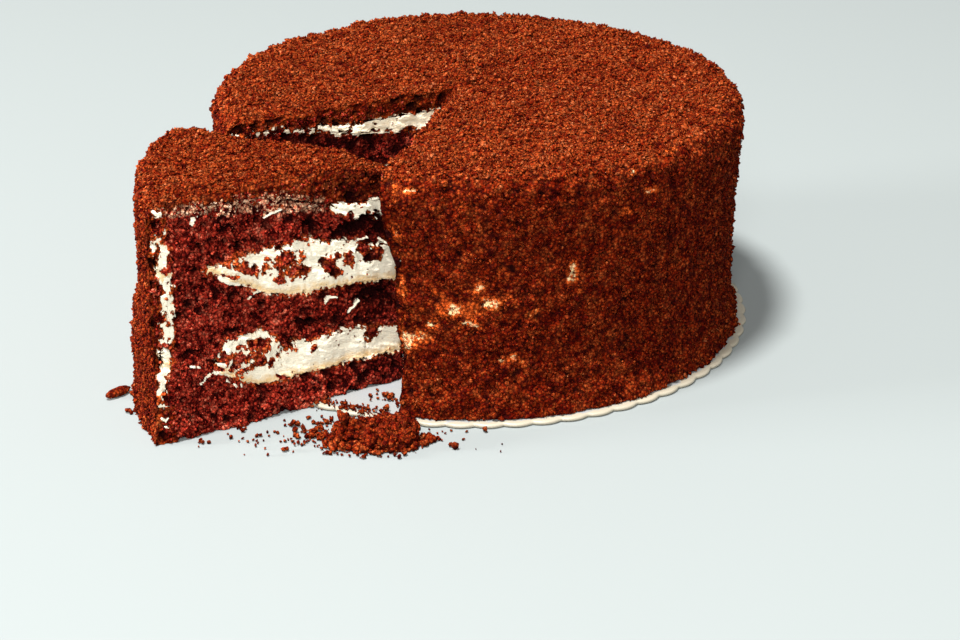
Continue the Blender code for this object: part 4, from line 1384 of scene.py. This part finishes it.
class Wire:
    """An output socket in a material; arithmetic on it adds the Math nodes."""

    def __init__(self, paint, socket):
        self.paint = paint
        self.socket = socket

    def math(self, operation, first, second):
        """The output of a new Math node."""
        return self.paint.node("ShaderNodeMath", {"operation": operation}, {0: first, 1: second})

    def __add__(self, other):
        return self.math("ADD", self, other)

    def __sub__(self, other):
        return self.math("SUBTRACT", self, other)

    def __rsub__(self, other):
        return self.math("SUBTRACT", other, self)

    def __mul__(self, other):
        return self.math("MULTIPLY", self, other)

    __radd__ = __add__
    __rmul__ = __mul__


class Paint:
    """A material and the calls that add its nodes."""

    def __init__(self, name):
        self.material = bpy.data.materials.new(name)
        self.material.use_nodes = True
        self.tree = self.material.node_tree
        self.shader = self.tree.nodes["Principled BSDF"]
        self.places = self.node("ShaderNodeTexCoord", {}, {}, "Object")

    def node(self, kind, settings, sockets, output=0):
        """Adds a node: its settings first, a ramp's stops among them, then its sockets."""
        node = self.tree.nodes.new(kind)
        for key, value in settings.items():
            if key == "stops":
                self.set_stops(node.color_ramp, value)
            else:
                setattr(node, key, value)
        for key, value in sockets.items():
            self.feed(node.inputs[key], value)
        return Wire(self, node.outputs[output])

    def set_stops(self, ramp, stops):
        """Gives a colour ramp its stops, each a place and a colour."""
        while len(ramp.elements) < len(stops):
            ramp.elements.new(0.5)
        for element, (place, colour) in zip(ramp.elements, stops):
            element.position = place
            element.color = (*colour, 1.0)

    def feed(self, socket, value):
        """Links a wire to a socket, or sets the socket's own value."""
        if isinstance(value, Wire):
            self.tree.links.new(value.socket, socket)
        elif socket.type == "RGBA":
            socket.default_value = (*value[:3], 1.0)
        else:
            socket.default_value = value

    def field(self, name):
        """Reads one of the fields of a finish."""
        return self.node("ShaderNodeAttribute", {"attribute_name": name}, {}, "Fac")

    def noise(self, size, detail=2.0, roughness=0.55, places=None):
        """Smooth noise of that size."""
        sockets = {
            "Vector": places or self.places, "Scale": 1.0 / size,
            "Detail": detail, "Roughness": roughness}
        return self.node("ShaderNodeTexNoise", {}, sockets, "Fac")

    def cells(self, size, output="Distance"):
        """Cells of that size: how far the nearest middle is, or each cell's own colour."""
        sockets = {"Vector": self.places, "Scale": 1.0 / size}
        return self.node("ShaderNodeTexVoronoi", {}, sockets, output)

    def clamp(self, value, low, high):
        """From 0 to 1 as the value goes from low to high."""
        sockets = {"Value": value, "From Min": low, "From Max": high}
        return self.node("ShaderNodeMapRange", {"clamp": True}, sockets, "Result")

    def mix(self, share, first, second):
        """Blends two colours by a share."""
        return self.node("ShaderNodeMix", {"data_type": "RGBA"}, {0: share, 6: first, 7: second}, 2)

    def vector(self, operation, first, second=(0.0, 0.0, 0.0), output="Vector"):
        """Arithmetic on vectors."""
        sockets = {0: first, 1: second}
        return self.node("ShaderNodeVectorMath", {"operation": operation}, sockets, output)

    def bump(self, height, depth, strength):
        """The way the surface faces with fine relief on it, which is the height times the depth."""
        sockets = {"Height": height, "Distance": depth, "Strength": strength}
        return self.node("ShaderNodeBump", {}, sockets, "Normal")

    def finish(self, **sockets):
        """Feeds the shader's sockets, named with low lines for spaces."""
        for key, value in sockets.items():
            self.feed(self.shader.inputs[key.replace("_", " ")], value)
        return self.material


def crumb_paint(name, settings, tones, contrast):
    """Crumb with cream on it: the crumb's colour by tone and height, the cream by its share.

    Deep between the crumbs and where they stand low the colour is dark, a painted shade, and
    beside cream it glows, a painted glow of the light that comes through. Fine noise breaks the
    edge of the cream into specks.
    """
    paint = Paint(name)
    fine = paint.noise(0.6 * MM, 3.0, 0.7)
    mottle = paint.noise(5.0 * MM, 3.0)
    grain = paint.cells(CRUMB_CELL)
    own = paint.cells(CRUMB_CELL, "Color")
    speckle = own * 0.6 + fine * 0.5 + mottle * 0.8 - 0.95
    tone = paint.field("tone") * 0.5 + speckle * contrast + 0.175
    stops = list(zip((0.0, 0.3, 0.65, 1.0), tones))
    crumb = paint.node("ShaderNodeValToRGB", {"stops": stops}, {"Fac": tone})
    dragged = paint.clamp(paint.field("smeared") * 0.55 + own * 0.8 + fine * 0.9, 1.3, 1.55)
    crumb = paint.mix(dragged * 0.9, crumb, settings.smear)
    # Painted glow: crumb beside cream turns orange as if lit through the cream, gleam where it glows
    # most
    lit = paint.field("glow") * (own * 0.9 + 0.5) + fine * 0.4
    crumb = paint.mix(paint.clamp(lit, 0.4, 1.2) * 0.85, crumb, settings.glow)
    crumb = paint.mix(paint.clamp(lit, 1.15, 1.5) * 0.8, crumb, settings.gleam)
    # Painted shade: crevices between the grains and low places go to the deep colour
    crevice = paint.clamp(grain, 0.75, 0.35)
    depth = paint.clamp(paint.field("height") + fine * 0.5 - 0.3, 0.05, 0.6)
    crumb = paint.mix(depth * (crevice * 0.75 + 0.25), settings.deep, crumb)
    # Painted shade in the cream: towards its shade colour by tone and by swirls along its folds; the
    # same colour warms the cream that shows through the coat
    swirl = paint.noise(2.4 * MM, 3.0, 0.6, paint.vector("MULTIPLY", paint.places, (1.0, 1.0, 3.0)))
    shaded = paint.clamp(paint.field("tone") * 0.8 + swirl * 0.9, 0.62, 1.25)
    cream = paint.mix(shaded, settings.cream, settings.cream_shade)
    share = paint.clamp(paint.field("cream") + fine * 0.55 + own * 0.3, 0.78, 0.95)
    relief = fine * 0.5 + crevice * (1.0 - share * 0.9) + swirl * share * 1.4
    return paint.finish(
        Base_Color=paint.mix(share, crumb, cream),
        Roughness=0.9 - share * 0.42,
        Specular_IOR_Level=0.025,
        Normal=paint.bump(relief, 0.45 * MM, 1.0),
    )


def sponge_paint(name, settings):
    """Torn sponge with its cream: strong contrast from crumb to crumb."""
    tones = (settings.sponge_dark, settings.sponge, settings.sponge_bright, settings.sponge_light)
    return crumb_paint(name, settings, tones, SPONGE_CONTRAST)


def coat_paint(name, settings):
    """The coat of crumbs: even, with less contrast."""
    tones = (settings.coat_dark, settings.coat, settings.coat_bright, settings.coat_light)
    return crumb_paint(name, settings, tones, COAT_CONTRAST)


def card_paint(name, settings):
    """Coated board: white, with a cool shade, fine pressed lines, grease, and cream on its rim."""
    paint = Paint(name)
    lines = paint.node(
        "ShaderNodeTexWave", {"wave_type": "BANDS", "bands_direction": "DIAGONAL"},
        {"Vector": paint.places, "Scale": PRESSED_LINES, "Distortion": 1.5}, "Fac")
    # Patches of grease on the board, with its pressed lines, take the card's cool colour
    stain_and_shade = paint.clamp(paint.noise(9.0 * MM, 3.0), 0.5, 0.8)
    level_place = paint.vector("MULTIPLY", paint.places, (1.0, 1.0, 0.0))
    radius = paint.vector("LENGTH", level_place, output="Value")
    wobbly = radius + paint.noise(2.5 * MM) * (6.0 * MM)
    rim = paint.clamp(wobbly, 0.995 * CARD_RADIUS, 1.005 * CARD_RADIUS)
    board = paint.mix(stain_and_shade * 0.6 + lines * 0.3, settings.card, settings.card_shade)
    return paint.finish(
        Base_Color=paint.mix(rim * 0.85, board, settings.card_rim),
        Roughness=0.42 + stain_and_shade * 0.2,
        Normal=paint.bump(lines, 0.05 * MM, 0.4),
    )


def floor_paint(name, colour):
    """A plain colour."""
    return Paint(name).finish(Base_Color=colour, Roughness=0.6)


# ---------------- settings


def length(name, description, default, least=0.2 * MM):
    """A length in the panel, in metres."""
    return bpy.props.FloatProperty(
        name=name, description=description, default=default, min=least, unit="LENGTH")


def number(name, description, default):
    """A count in the panel."""
    return bpy.props.IntProperty(name=name, description=description, default=default, min=0)


def colour(name, description, default):
    """A colour in the panel."""
    return bpy.props.FloatVectorProperty(
        name=name, description=description, default=default, subtype="COLOR")


def power(name, description, default):
    """A light's power in the panel, in watts."""
    return bpy.props.FloatProperty(
        name=name, description=description, default=default, min=0.0, unit="POWER")


class CakeSettings(bpy.types.PropertyGroup):
    """Sizes and colours of the cake that a user would change."""

    face_grain: length(
        "Front face grid", "Spacing of the points on the slice's front face", 0.38 * MM)
    wall_grain: length(
        "Other cuts grid", "Spacing of the points on the other cut walls", 0.75 * MM, 0.3 * MM)
    coat_grain: length(
        "Coat grid", "Spacing of the points on the coat of crumbs", 0.82 * MM, 0.4 * MM)
    crumb_size: length("Crumb size", "Radius of a middling loose crumb", 0.78 * MM)
    grain_size: length("Grain size", "Radius of a middling grain of the coat", 0.56 * MM)
    wall_grain_size: length(
        "Wall grain size", "Radius of a middling grain on the cake's wall", 0.46 * MM)
    face_crumb_size: length(
        "Torn crumb size", "Radius of a middling lump of torn sponge", 0.62 * MM)
    face_grain_size: length(
        "Torn grain size", "Radius of a middling grain of torn sponge", 0.4 * MM)
    coat_crumbs: number("Cake crumbs", "Larger crumbs on the cake's coat", 6000)
    top_grains: number("Top grains", "Small grains on the cake's top", 24900)
    wall_grains: number("Wall grains", "Small grains on the cake's wall", 24900)
    slice_crumbs: number("Slice crumbs", "Larger crumbs on the slice's coat", 1000)
    slice_grains: number("Slice grains", "Small grains on the slice's coat", 12000)
    face_crumbs: number("Torn crumbs", "Lumps on each cut face", 2200)
    face_grains: number("Torn grains", "Small grains on each cut face", 7500)
    sponge_dark: colour(
        "Dark sponge", "Colour of the darkest crumbs of torn sponge", (0.03, 0.0004, 0.0003))
    sponge: colour("Sponge", "Colour of torn sponge", (0.30, 0.0155, 0.008))
    sponge_bright: colour(
        "Bright sponge", "Colour of brighter lumps of sponge", (0.56, 0.062, 0.030))
    sponge_light: colour(
        "Lightest sponge", "Colour of the few lightest lumps", (0.74, 0.19, 0.11))
    coat_dark: colour("Dark crumbs", "Colour of the coat's darkest crumbs", (0.06, 0.001, 0.0001))
    coat: colour("Crumbs", "Colour of the coat's crumbs", (0.195, 0.015, 0.0018))
    coat_bright: colour(
        "Bright crumbs", "Colour of the coat's brighter crumbs", (0.37, 0.067, 0.013))
    coat_light: colour(
        "Lightest crumbs", "Colour of the few lightest crumbs", (0.47, 0.145, 0.060))
    # Painted shade: colour of the shade deep between the crumbs
    deep: colour("Deep crumb", "Colour deep between the crumbs", (0.012, 0.0012, 0.0014))
    # Painted glow: crumb lit by light coming through the cream under it
    glow: colour(
        "Crumb beside cream", "Colour of crumbs with cream under them", (0.85, 0.13, 0.018))
    smear: colour(
        "Smeared crumb", "Colour of crumb with cream dragged over it", (0.85, 0.44, 0.25))
    # Painted glow at its brightest
    gleam: colour(
        "Crumb on cream", "Colour of single crumbs right on the cream", (0.95, 0.42, 0.12))
    cream: colour("Cream", "Colour of the cream", (0.97, 0.90, 0.72))
    # Painted shade of the cream, also its warm tint where it shows through the coat
    cream_shade: colour("Cream shade", "Colour of the cream in its hollows", (0.86, 0.60, 0.30))
    card: colour("Card", "Colour of the card", tuple(0.42 * part for part in slot_colour("card")))
    card_rim: colour(
        "Card rim", "Colour of the cream left on the card's rim", (0.42, 0.37, 0.27))
    card_shade: colour(
        "Card shade", "Colour of the card where it is greased", (0.26, 0.28, 0.31))


class StageSettings(bpy.types.PropertyGroup):
    """The plain stage: floor, light and air."""

    floor: colour("Floor", "Colour of the floor", (0.27, 0.30, 0.30))
    key: power("Key light", "Power of the light above", 182.0)
    front: power("Front light", "Power of the light in front", 44.0)
    side: power("Side light", "Power of the light on the left", 170.0)
    air: bpy.props.FloatProperty(
        name="Air light", description="Strength of the light from all round", default=0.3, min=0.0)


# ---------------- operators


class CAKE_OT_layers(bpy.types.Operator):
    """Add the sponges and the fillings of the cake and its slice"""

    bl_idname = "cake.layers"
    bl_label = "Sponges and fillings"

    def execute(self, context):
        settings = context.scene.cake
        sponge = sponge_paint("torn_sponge", settings)
        cream = sponge_paint("spread_cream", settings)
        for part in ("sponge_bottom", "sponge_middle", "sponge_top", "filling_lower", "filling_upper"):
            paint, slot = (sponge, "sponge") if part.startswith("sponge") else (cream, "cream")
            add_layer(CAKE, part, paint, (settings.wall_grain, settings.wall_grain))
            add_layer(SLICE, part, paint, (settings.face_grain, settings.wall_grain))
        return {"FINISHED"}


class CAKE_OT_icing(bpy.types.Operator):
    """Add the icing of the cake and its slice"""

    bl_idname = "cake.icing"
    bl_label = "Icing"

    def execute(self, context):
        settings = context.scene.cake
        paint = sponge_paint("icing_cream", settings)
        for body, size in ((CAKE, settings.wall_grain), (SLICE, settings.face_grain)):
            outer = Curve(body, body.tops[1], ICING_RADIUS, ICING_RIM, body.icing_foot)
            inner = Curve(body, body.tops[0], SPONGE_RADIUS, SPONGE_RIM, body.icing_foot)
            counts = (
                steps(ICING_RADIUS, size), steps(1.5 * ICING_RIM, size), steps(ICING_WALL, size))
            add_shell(
                body, f"{body.name}_icing_cut", outer, inner, counts, body.icing_turns, (0, None),
                False, paint, f"{body.name}_icing")
        return {"FINISHED"}


def coat_curves(body):
    """The coat's outside and its inside, which is the icing's outside and then the sponge's."""
    outer = Curve(body, body.tops[2], COAT_RADIUS, COAT_RIM, body.foot, body.flare)
    inner = Curve(body, body.tops[1], ICING_RADIUS, ICING_RIM, body.foot, narrow=body.icing_foot)
    return outer, inner


def coat_counts(outer, size):
    """Stations on the coat's top, round its rim and down its wall."""
    wall = outer.high - outer.foot
    return steps(outer.flat, size), steps(1.6 * COAT_RIM, size), steps(wall, size)


class CAKE_OT_coat(bpy.types.Operator):
    """Add the coat of crumbs of the cake and its slice"""

    bl_idname = "cake.coat"
    bl_label = "Crumb coat"

    def execute(self, context):
        settings = context.scene.cake
        paint = coat_paint("crumb_coat", settings)
        self.add(CAKE, settings.coat_grain, ("cake_coat_top", "cake_coat_wall"), paint)
        self.add(SLICE, 0.65 * settings.coat_grain, ("slice_coat",), paint)
        return {"FINISHED"}

    def add(self, body, size, names, paint):
        """The coat in one piece, or in two that meet at the foot of its rim."""
        outer, inner = coat_curves(body)
        counts = coat_counts(outer, size)
        turns = (steps(body.sweep(), size), steps(body.sweep(), INNER_STEP), body.coat_across)
        middle = counts[0] + counts[1]
        parts = ((0, middle + 1), (middle, None)) if len(names) > 1 else ((0, None),)
        for name, part in zip(names, parts):
            add_shell(
                body, name, outer, inner, counts, turns, part, True, paint,
                f"{body.name}_crumb_coat")


class CAKE_OT_crumbs(bpy.types.Operator):
    """Scatter crumbs over the coat and the cut faces"""

    bl_idname = "cake.crumbs"
    bl_label = "Scattered crumbs"

    def execute(self, context):
        settings = context.scene.cake
        coat = coat_paint("coat_crumbs", settings)
        sponge = sponge_paint("sponge_crumbs", settings)
        random = np.random.default_rng(7)
        large, small = icosahedron(), octahedron()
        kinds = (
            ("cake_coat_crumbs", CAKE, settings.coat_crumbs, large, settings.crumb_size, "all"),
            ("cake_top_grains", CAKE, settings.top_grains, small, settings.grain_size, "top"),
            ("cake_wall_grains", CAKE, settings.wall_grains, small, settings.wall_grain_size, "wall"),
            ("slice_coat_crumbs", SLICE, settings.slice_crumbs, large, settings.crumb_size, "all"),
            ("slice_coat_grains", SLICE, settings.slice_grains, small, settings.grain_size, "all"),
        )
        for name, body, count, form, size, part in kinds:
            seats = coat_seats(body, body.seat_grid, count, part, random)
            sizes = crumb_sizes(size, 0.28, len(seats.points), random)
            # Painted light: crumbs that face up, under the lamps, are lighter than those on the wall
            brightest = 0.4 + 0.6 * smoothstep(0.2, 0.7, seats.normals[:, 2])
            add_lumps(name, [lumps(form, seats, sizes, 0.3, random, brightest)], coat)
        kinds = (
            (large, settings.face_crumbs, settings.face_crumb_size),
            (small, settings.face_grains, settings.face_grain_size))
        for body in (CAKE, SLICE):
            groups = [
                self.torn(body, wall, *kind, random)
                for wall in (body.right, body.left) for kind in kinds]
            add_lumps(f"{body.name}_torn_crumbs", groups, sponge)
        return {"FINISHED"}

    def torn(self, body, wall, form, count, size, random):
        """Crumbs on a cut face, where sponge shows and stands out."""
        seats = face_seats(body, wall, count, random)
        draw = random.random((2, len(seats.points)))
        bare = seats.finish["cream"] < 0.6 * draw[0]
        seats = seats.keep(bare & (seats.finish["height"] > 0.2 + 0.5 * draw[1]))
        sizes = crumb_sizes(size, 0.35, len(seats.points), random)
        # Painted shade of the wall: darker torn crumbs towards the slice's tip and in the notch
        brightest = 0.7 * wall.shade(body, *seats.spots)
        return lumps(form, seats, sizes, 0.5, random, brightest, 0.28)


def full_turn(count):
    """Angles of a whole turn in even steps, one to a row."""
    return np.linspace(0.0, 2.0 * math.pi, count, endpoint=False)[:, None]


class CAKE_OT_card(bpy.types.Operator):
    """Add the scalloped card"""

    bl_idname = "cake.card"
    bl_label = "Card"

    def execute(self, context):
        paint = card_paint("coated_card", context.scene.cake)
        angle = full_turn(SCALLOPS * SCALLOP_STEPS)
        across = angle * SCALLOPS / (2.0 * math.pi) % 1.0
        rim = CARD_RADIUS - SCALLOP_DEPTH * (1.0 - 2.0 * across) ** 2
        radius = rim * CARD_SECTION[:, 0]
        up = np.broadcast_to(CARD_SECTION[:, 1] * CARD_TOP, radius.shape)
        points = np.stack([radius * np.cos(angle), radius * np.sin(angle), up], axis=-1)
        triangles = grid_triangles(len(points), len(CARD_SECTION), True)
        add_piece("scalloped_card", points, triangles, {}, paint, ["cake_card"])
        return {"FINISHED"}


def heap_height(plan):
    """Height of the heap: its rim and its mounds, each a bell."""
    height = np.full(plan.shape[:-1], HEAP_RIM)
    for x, y, radius, rise in HEAP_MOUNDS:
        away = np.hypot(plan[..., 0] - x * MM, plan[..., 1] - y * MM)
        height += rise * MM * np.exp(-((away / (radius * MM)) ** 2))
    return height


def add_heap(paint):
    """The heap's core: its mounds under the coat's relief, over a level base. Returns its top."""
    turn = full_turn(HEAP_TURNS)
    share = np.linspace(0.0, 1.0, HEAP_RINGS)[None, :]
    rim = 1.0 + 0.16 * waves(np.stack([np.cos(turn), np.sin(turn), 0.0 * turn], axis=-1), 0.5, 3)
    plan = HEAP_SEMI_AXES * rim[..., None] * share[..., None] * direction(turn) + HEAP_CENTRE
    lift, height, tone = crumb_coat(np.concatenate([plan, 0.0 * plan[..., :1]], axis=-1), 77)
    low = ground(plan, GAP)
    up = np.maximum(heap_height(plan) + lift * smoothstep(1.0, 0.8, share), low + 0.2 * MM)
    top = np.concatenate([plan, up[..., None]], axis=-1)
    base = np.concatenate([plan, low[..., None]], axis=-1)[:, ::-1][:, HEAP_BASE_RINGS]
    points = np.concatenate([top, base], axis=1)
    field = no_finish(tone.shape) | {"tone": 0.3 * tone, "height": 0.6 * height}
    edge = ((0, 0), (0, len(HEAP_BASE_RINGS)))
    field = {key: np.pad(value, edge, mode="edge") for key, value in field.items()}
    triangles = grid_triangles(len(points), points.shape[1], True)
    add_piece("heap_core", points, triangles, field, paint, ["fallen_crumbs"])
    return top


def heap_crumbs(top, random):
    """Crumbs on the front of the heap, some of them big."""
    finish = {"glow": np.zeros((len(top) + 1, top.shape[1]))}
    seats = seats_on_grid(np.concatenate([top, top[:1]]), finish, HEAP_CRUMBS, random)
    seats = seats.keep((seats.points[:, 2] > HEAP_FOOT) & (seats.points[:, 1] < HEAP_FRONT))
    sizes = crumb_sizes(HEAP_CRUMB, 0.45, len(seats.points), random)
    sizes[::BIG_CRUMB_EVERY] *= BIG_CRUMB
    return lumps(icosahedron(), seats, sizes, 0.1, random, 0.45)


def loose_crumbs(random):
    """Crumbs in clusters, strays, a ring at the heap's edge, and dust on the card's rim."""
    spots = np.repeat(np.array(LOOSE_SPOTS, float), CLUSTER, axis=0)
    spots = spots + random.normal(scale=CLUSTER_SPREAD, size=spots.shape)
    strays = random.normal(scale=STRAYS_SPREAD, size=(STRAYS, 2)) + STRAYS_AT
    turns = np.radians(random.uniform(*EDGE_TURNS, EDGE_CRUMBS))
    reach = random.uniform(*EDGE_REACH, (EDGE_CRUMBS, 1))
    ring = direction(turns) * HEAP_SEMI_AXES * reach + HEAP_CENTRE
    turns = np.radians(random.uniform(*DUST_TURNS, DUST))
    dust = direction(turns) * random.normal(*DUST_RADIUS, (DUST, 1))
    plan = np.concatenate([spots, strays, ring / MM])
    sizes = crumb_sizes(LOOSE_CRUMB, 0.5, len(plan), random)
    sizes = np.concatenate([sizes, crumb_sizes(DUST_GRAIN, 0.4, DUST, random)])
    plan = np.concatenate([plan, dust]) * MM
    near = plan[:, 1] > LOOSE_FRONT
    plan, sizes = plan[near], sizes[near]
    points = np.concatenate([plan, ground(plan)[:, None]], axis=-1)
    normals = np.broadcast_to([0.0, 0.0, 1.0], points.shape)
    seats = Seats(points, normals, {"glow": np.zeros(len(plan))})
    return lumps(icosahedron(), seats, sizes, 0.05, random, 0.8)


def add_flake(paint):
    """The fallen flake: an egg of three unlike half axes, roughened, turned, and level below."""
    turn = full_turn(60)
    rise = np.linspace(-0.5 * math.pi, 0.5 * math.pi, 31)[None, :]
    ball = np.stack([
        np.cos(rise) * np.cos(turn), np.cos(rise) * np.sin(turn), np.sin(rise) + 0.0 * turn], axis=-1)
    points = ball * FLAKE_SEMI_AXES
    lift, height, tone = crumb_coat(points + NOISE_SHIFT, 55)
    points = points + ball * (FLAKE_ROUGHNESS * lift * np.cos(rise))[..., None]
    cos, sin = math.cos(FLAKE_TURN), math.sin(FLAKE_TURN)
    points = points @ np.array([[cos, sin, 0.0], [-sin, cos, 0.0], [0.0, 0.0, 1.0]]) + FLAKE_CENTRE
    points[..., 2] = np.maximum(points[..., 2], 0.0)
    field = no_finish(tone.shape) | {"tone": 0.5 * tone, "height": height}
    triangles = grid_triangles(len(points), points.shape[1], True)
    add_piece("torn_flake", points, triangles, field, paint, ["fallen_flake"])


class CAKE_OT_heap(bpy.types.Operator):
    """Add the heap of fallen crumbs, the flake and the loose crumbs round them"""

    bl_idname = "cake.heap"
    bl_label = "Fallen crumbs"

    def execute(self, context):
        paint = coat_paint("fallen_crumb", context.scene.cake)
        random = np.random.default_rng(11)
        top = add_heap(paint)
        groups = [heap_crumbs(top, random), loose_crumbs(random)]
        add_lumps("fallen_crumb_grains", groups, paint)
        add_flake(paint)
        return {"FINISHED"}


class CAKE_OT_stage(bpy.types.Operator):
    """Add the floor, the lights and the camera"""

    bl_idname = "cake.stage"
    bl_label = "Stage"

    def execute(self, context):
        settings = context.scene.cake_stage
        mesh = bpy.data.meshes.new("floor")
        sides = ((-1, -1), (1, -1), (1, 1), (-1, 1))
        corners = [(x * FLOOR_SIDE, y * FLOOR_SIDE, -FLOOR_DROP) for x, y in sides]
        mesh.from_pydata(corners, [], [(0, 1, 2, 3)])
        mesh.materials.append(floor_paint("pale_floor", settings.floor))
        floor = bpy.data.objects.new("floor", mesh)
        context.scene.collection.objects.link(floor)
        for name, (place, size) in LIGHTS.items():
            add_light(context, name, place, getattr(settings, name), size)
        world = bpy.data.worlds.new("air")
        world.use_nodes = True
        background = world.node_tree.nodes["Background"]
        background.inputs["Color"].default_value = AIR_COLOUR
        background.inputs["Strength"].default_value = settings.air
        context.scene.world = world
        context.scene.view_settings.view_transform = "Standard"
        add_camera(context)
        return {"FINISHED"}


def add_light(context, name, place, power, size):
    """A round light that faces the cake."""
    light = bpy.data.lights.new(name, "AREA")
    light.shape = "DISK"
    light.size = size
    light.energy = power
    light.color = LIGHT_COLOUR
    item = bpy.data.objects.new(name, light)
    item.location = place
    item.rotation_euler = (LIT_POINT - Vector(place)).to_track_quat("-Z", "Y").to_euler()
    context.scene.collection.objects.link(item)


def add_camera(context):
    """Camera at the photo's place: pitched down, with a hair of yaw and roll."""
    ahead = math.cos(CAMERA_PITCH)
    forward = Vector((
        math.sin(CAMERA_YAW) * ahead, math.cos(CAMERA_YAW) * ahead, -math.sin(CAMERA_PITCH)))
    right = Vector((math.cos(CAMERA_YAW), -math.sin(CAMERA_YAW), 0.0))
    up = right.cross(forward)
    turned_right = right * math.cos(CAMERA_ROLL) + up * math.sin(CAMERA_ROLL)
    turned_up = up * math.cos(CAMERA_ROLL) - right * math.sin(CAMERA_ROLL)
    camera = bpy.data.cameras.new("photo_view")
    camera.lens = CAMERA_LENS
    camera.sensor_width = CAMERA_SENSOR
    item = bpy.data.objects.new("photo_view", camera)
    turn = Matrix((turned_right, turned_up, -forward)).transposed().to_4x4()
    turn.translation = CAMERA_PLACE
    item.matrix_world = turn
    context.scene.collection.objects.link(item)
    context.scene.camera = item


class CAKE_PT_panel(bpy.types.Panel):
    """Cake panel in the 3D view's sidebar"""

    bl_idname = "CAKE_PT_panel"
    bl_label = "Cake"
    bl_space_type = "VIEW_3D"
    bl_region_type = "UI"
    bl_category = "Cake"

    def draw(self, context):
        layout = self.layout
        for operator in OPERATORS:
            layout.operator(operator.bl_idname)
        for group in (context.scene.cake, context.scene.cake_stage):
            for name in group.__annotations__:
                layout.prop(group, name)


OPERATORS = (
    CAKE_OT_layers, CAKE_OT_icing, CAKE_OT_coat, CAKE_OT_crumbs, CAKE_OT_card, CAKE_OT_heap,
    CAKE_OT_stage)
CLASSES = (CakeSettings, StageSettings, *OPERATORS, CAKE_PT_panel)


def register():
    """Registers the classes, and puts their settings on the scene."""
    for item in CLASSES:
        bpy.utils.register_class(item)
    bpy.types.Scene.cake = bpy.props.PointerProperty(type=CakeSettings)
    bpy.types.Scene.cake_stage = bpy.props.PointerProperty(type=StageSettings)


def unregister():
    """Takes the settings and the classes away again."""
    del bpy.types.Scene.cake_stage
    del bpy.types.Scene.cake
    for item in reversed(CLASSES):
        bpy.utils.unregister_class(item)


def main():
    """Registers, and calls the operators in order."""
    register()
    bpy.ops.cake.layers()
    bpy.ops.cake.icing()
    bpy.ops.cake.coat()
    bpy.ops.cake.crumbs()
    bpy.ops.cake.card()
    bpy.ops.cake.heap()
    bpy.ops.cake.stage()


if __name__ == "__main__":
    main()
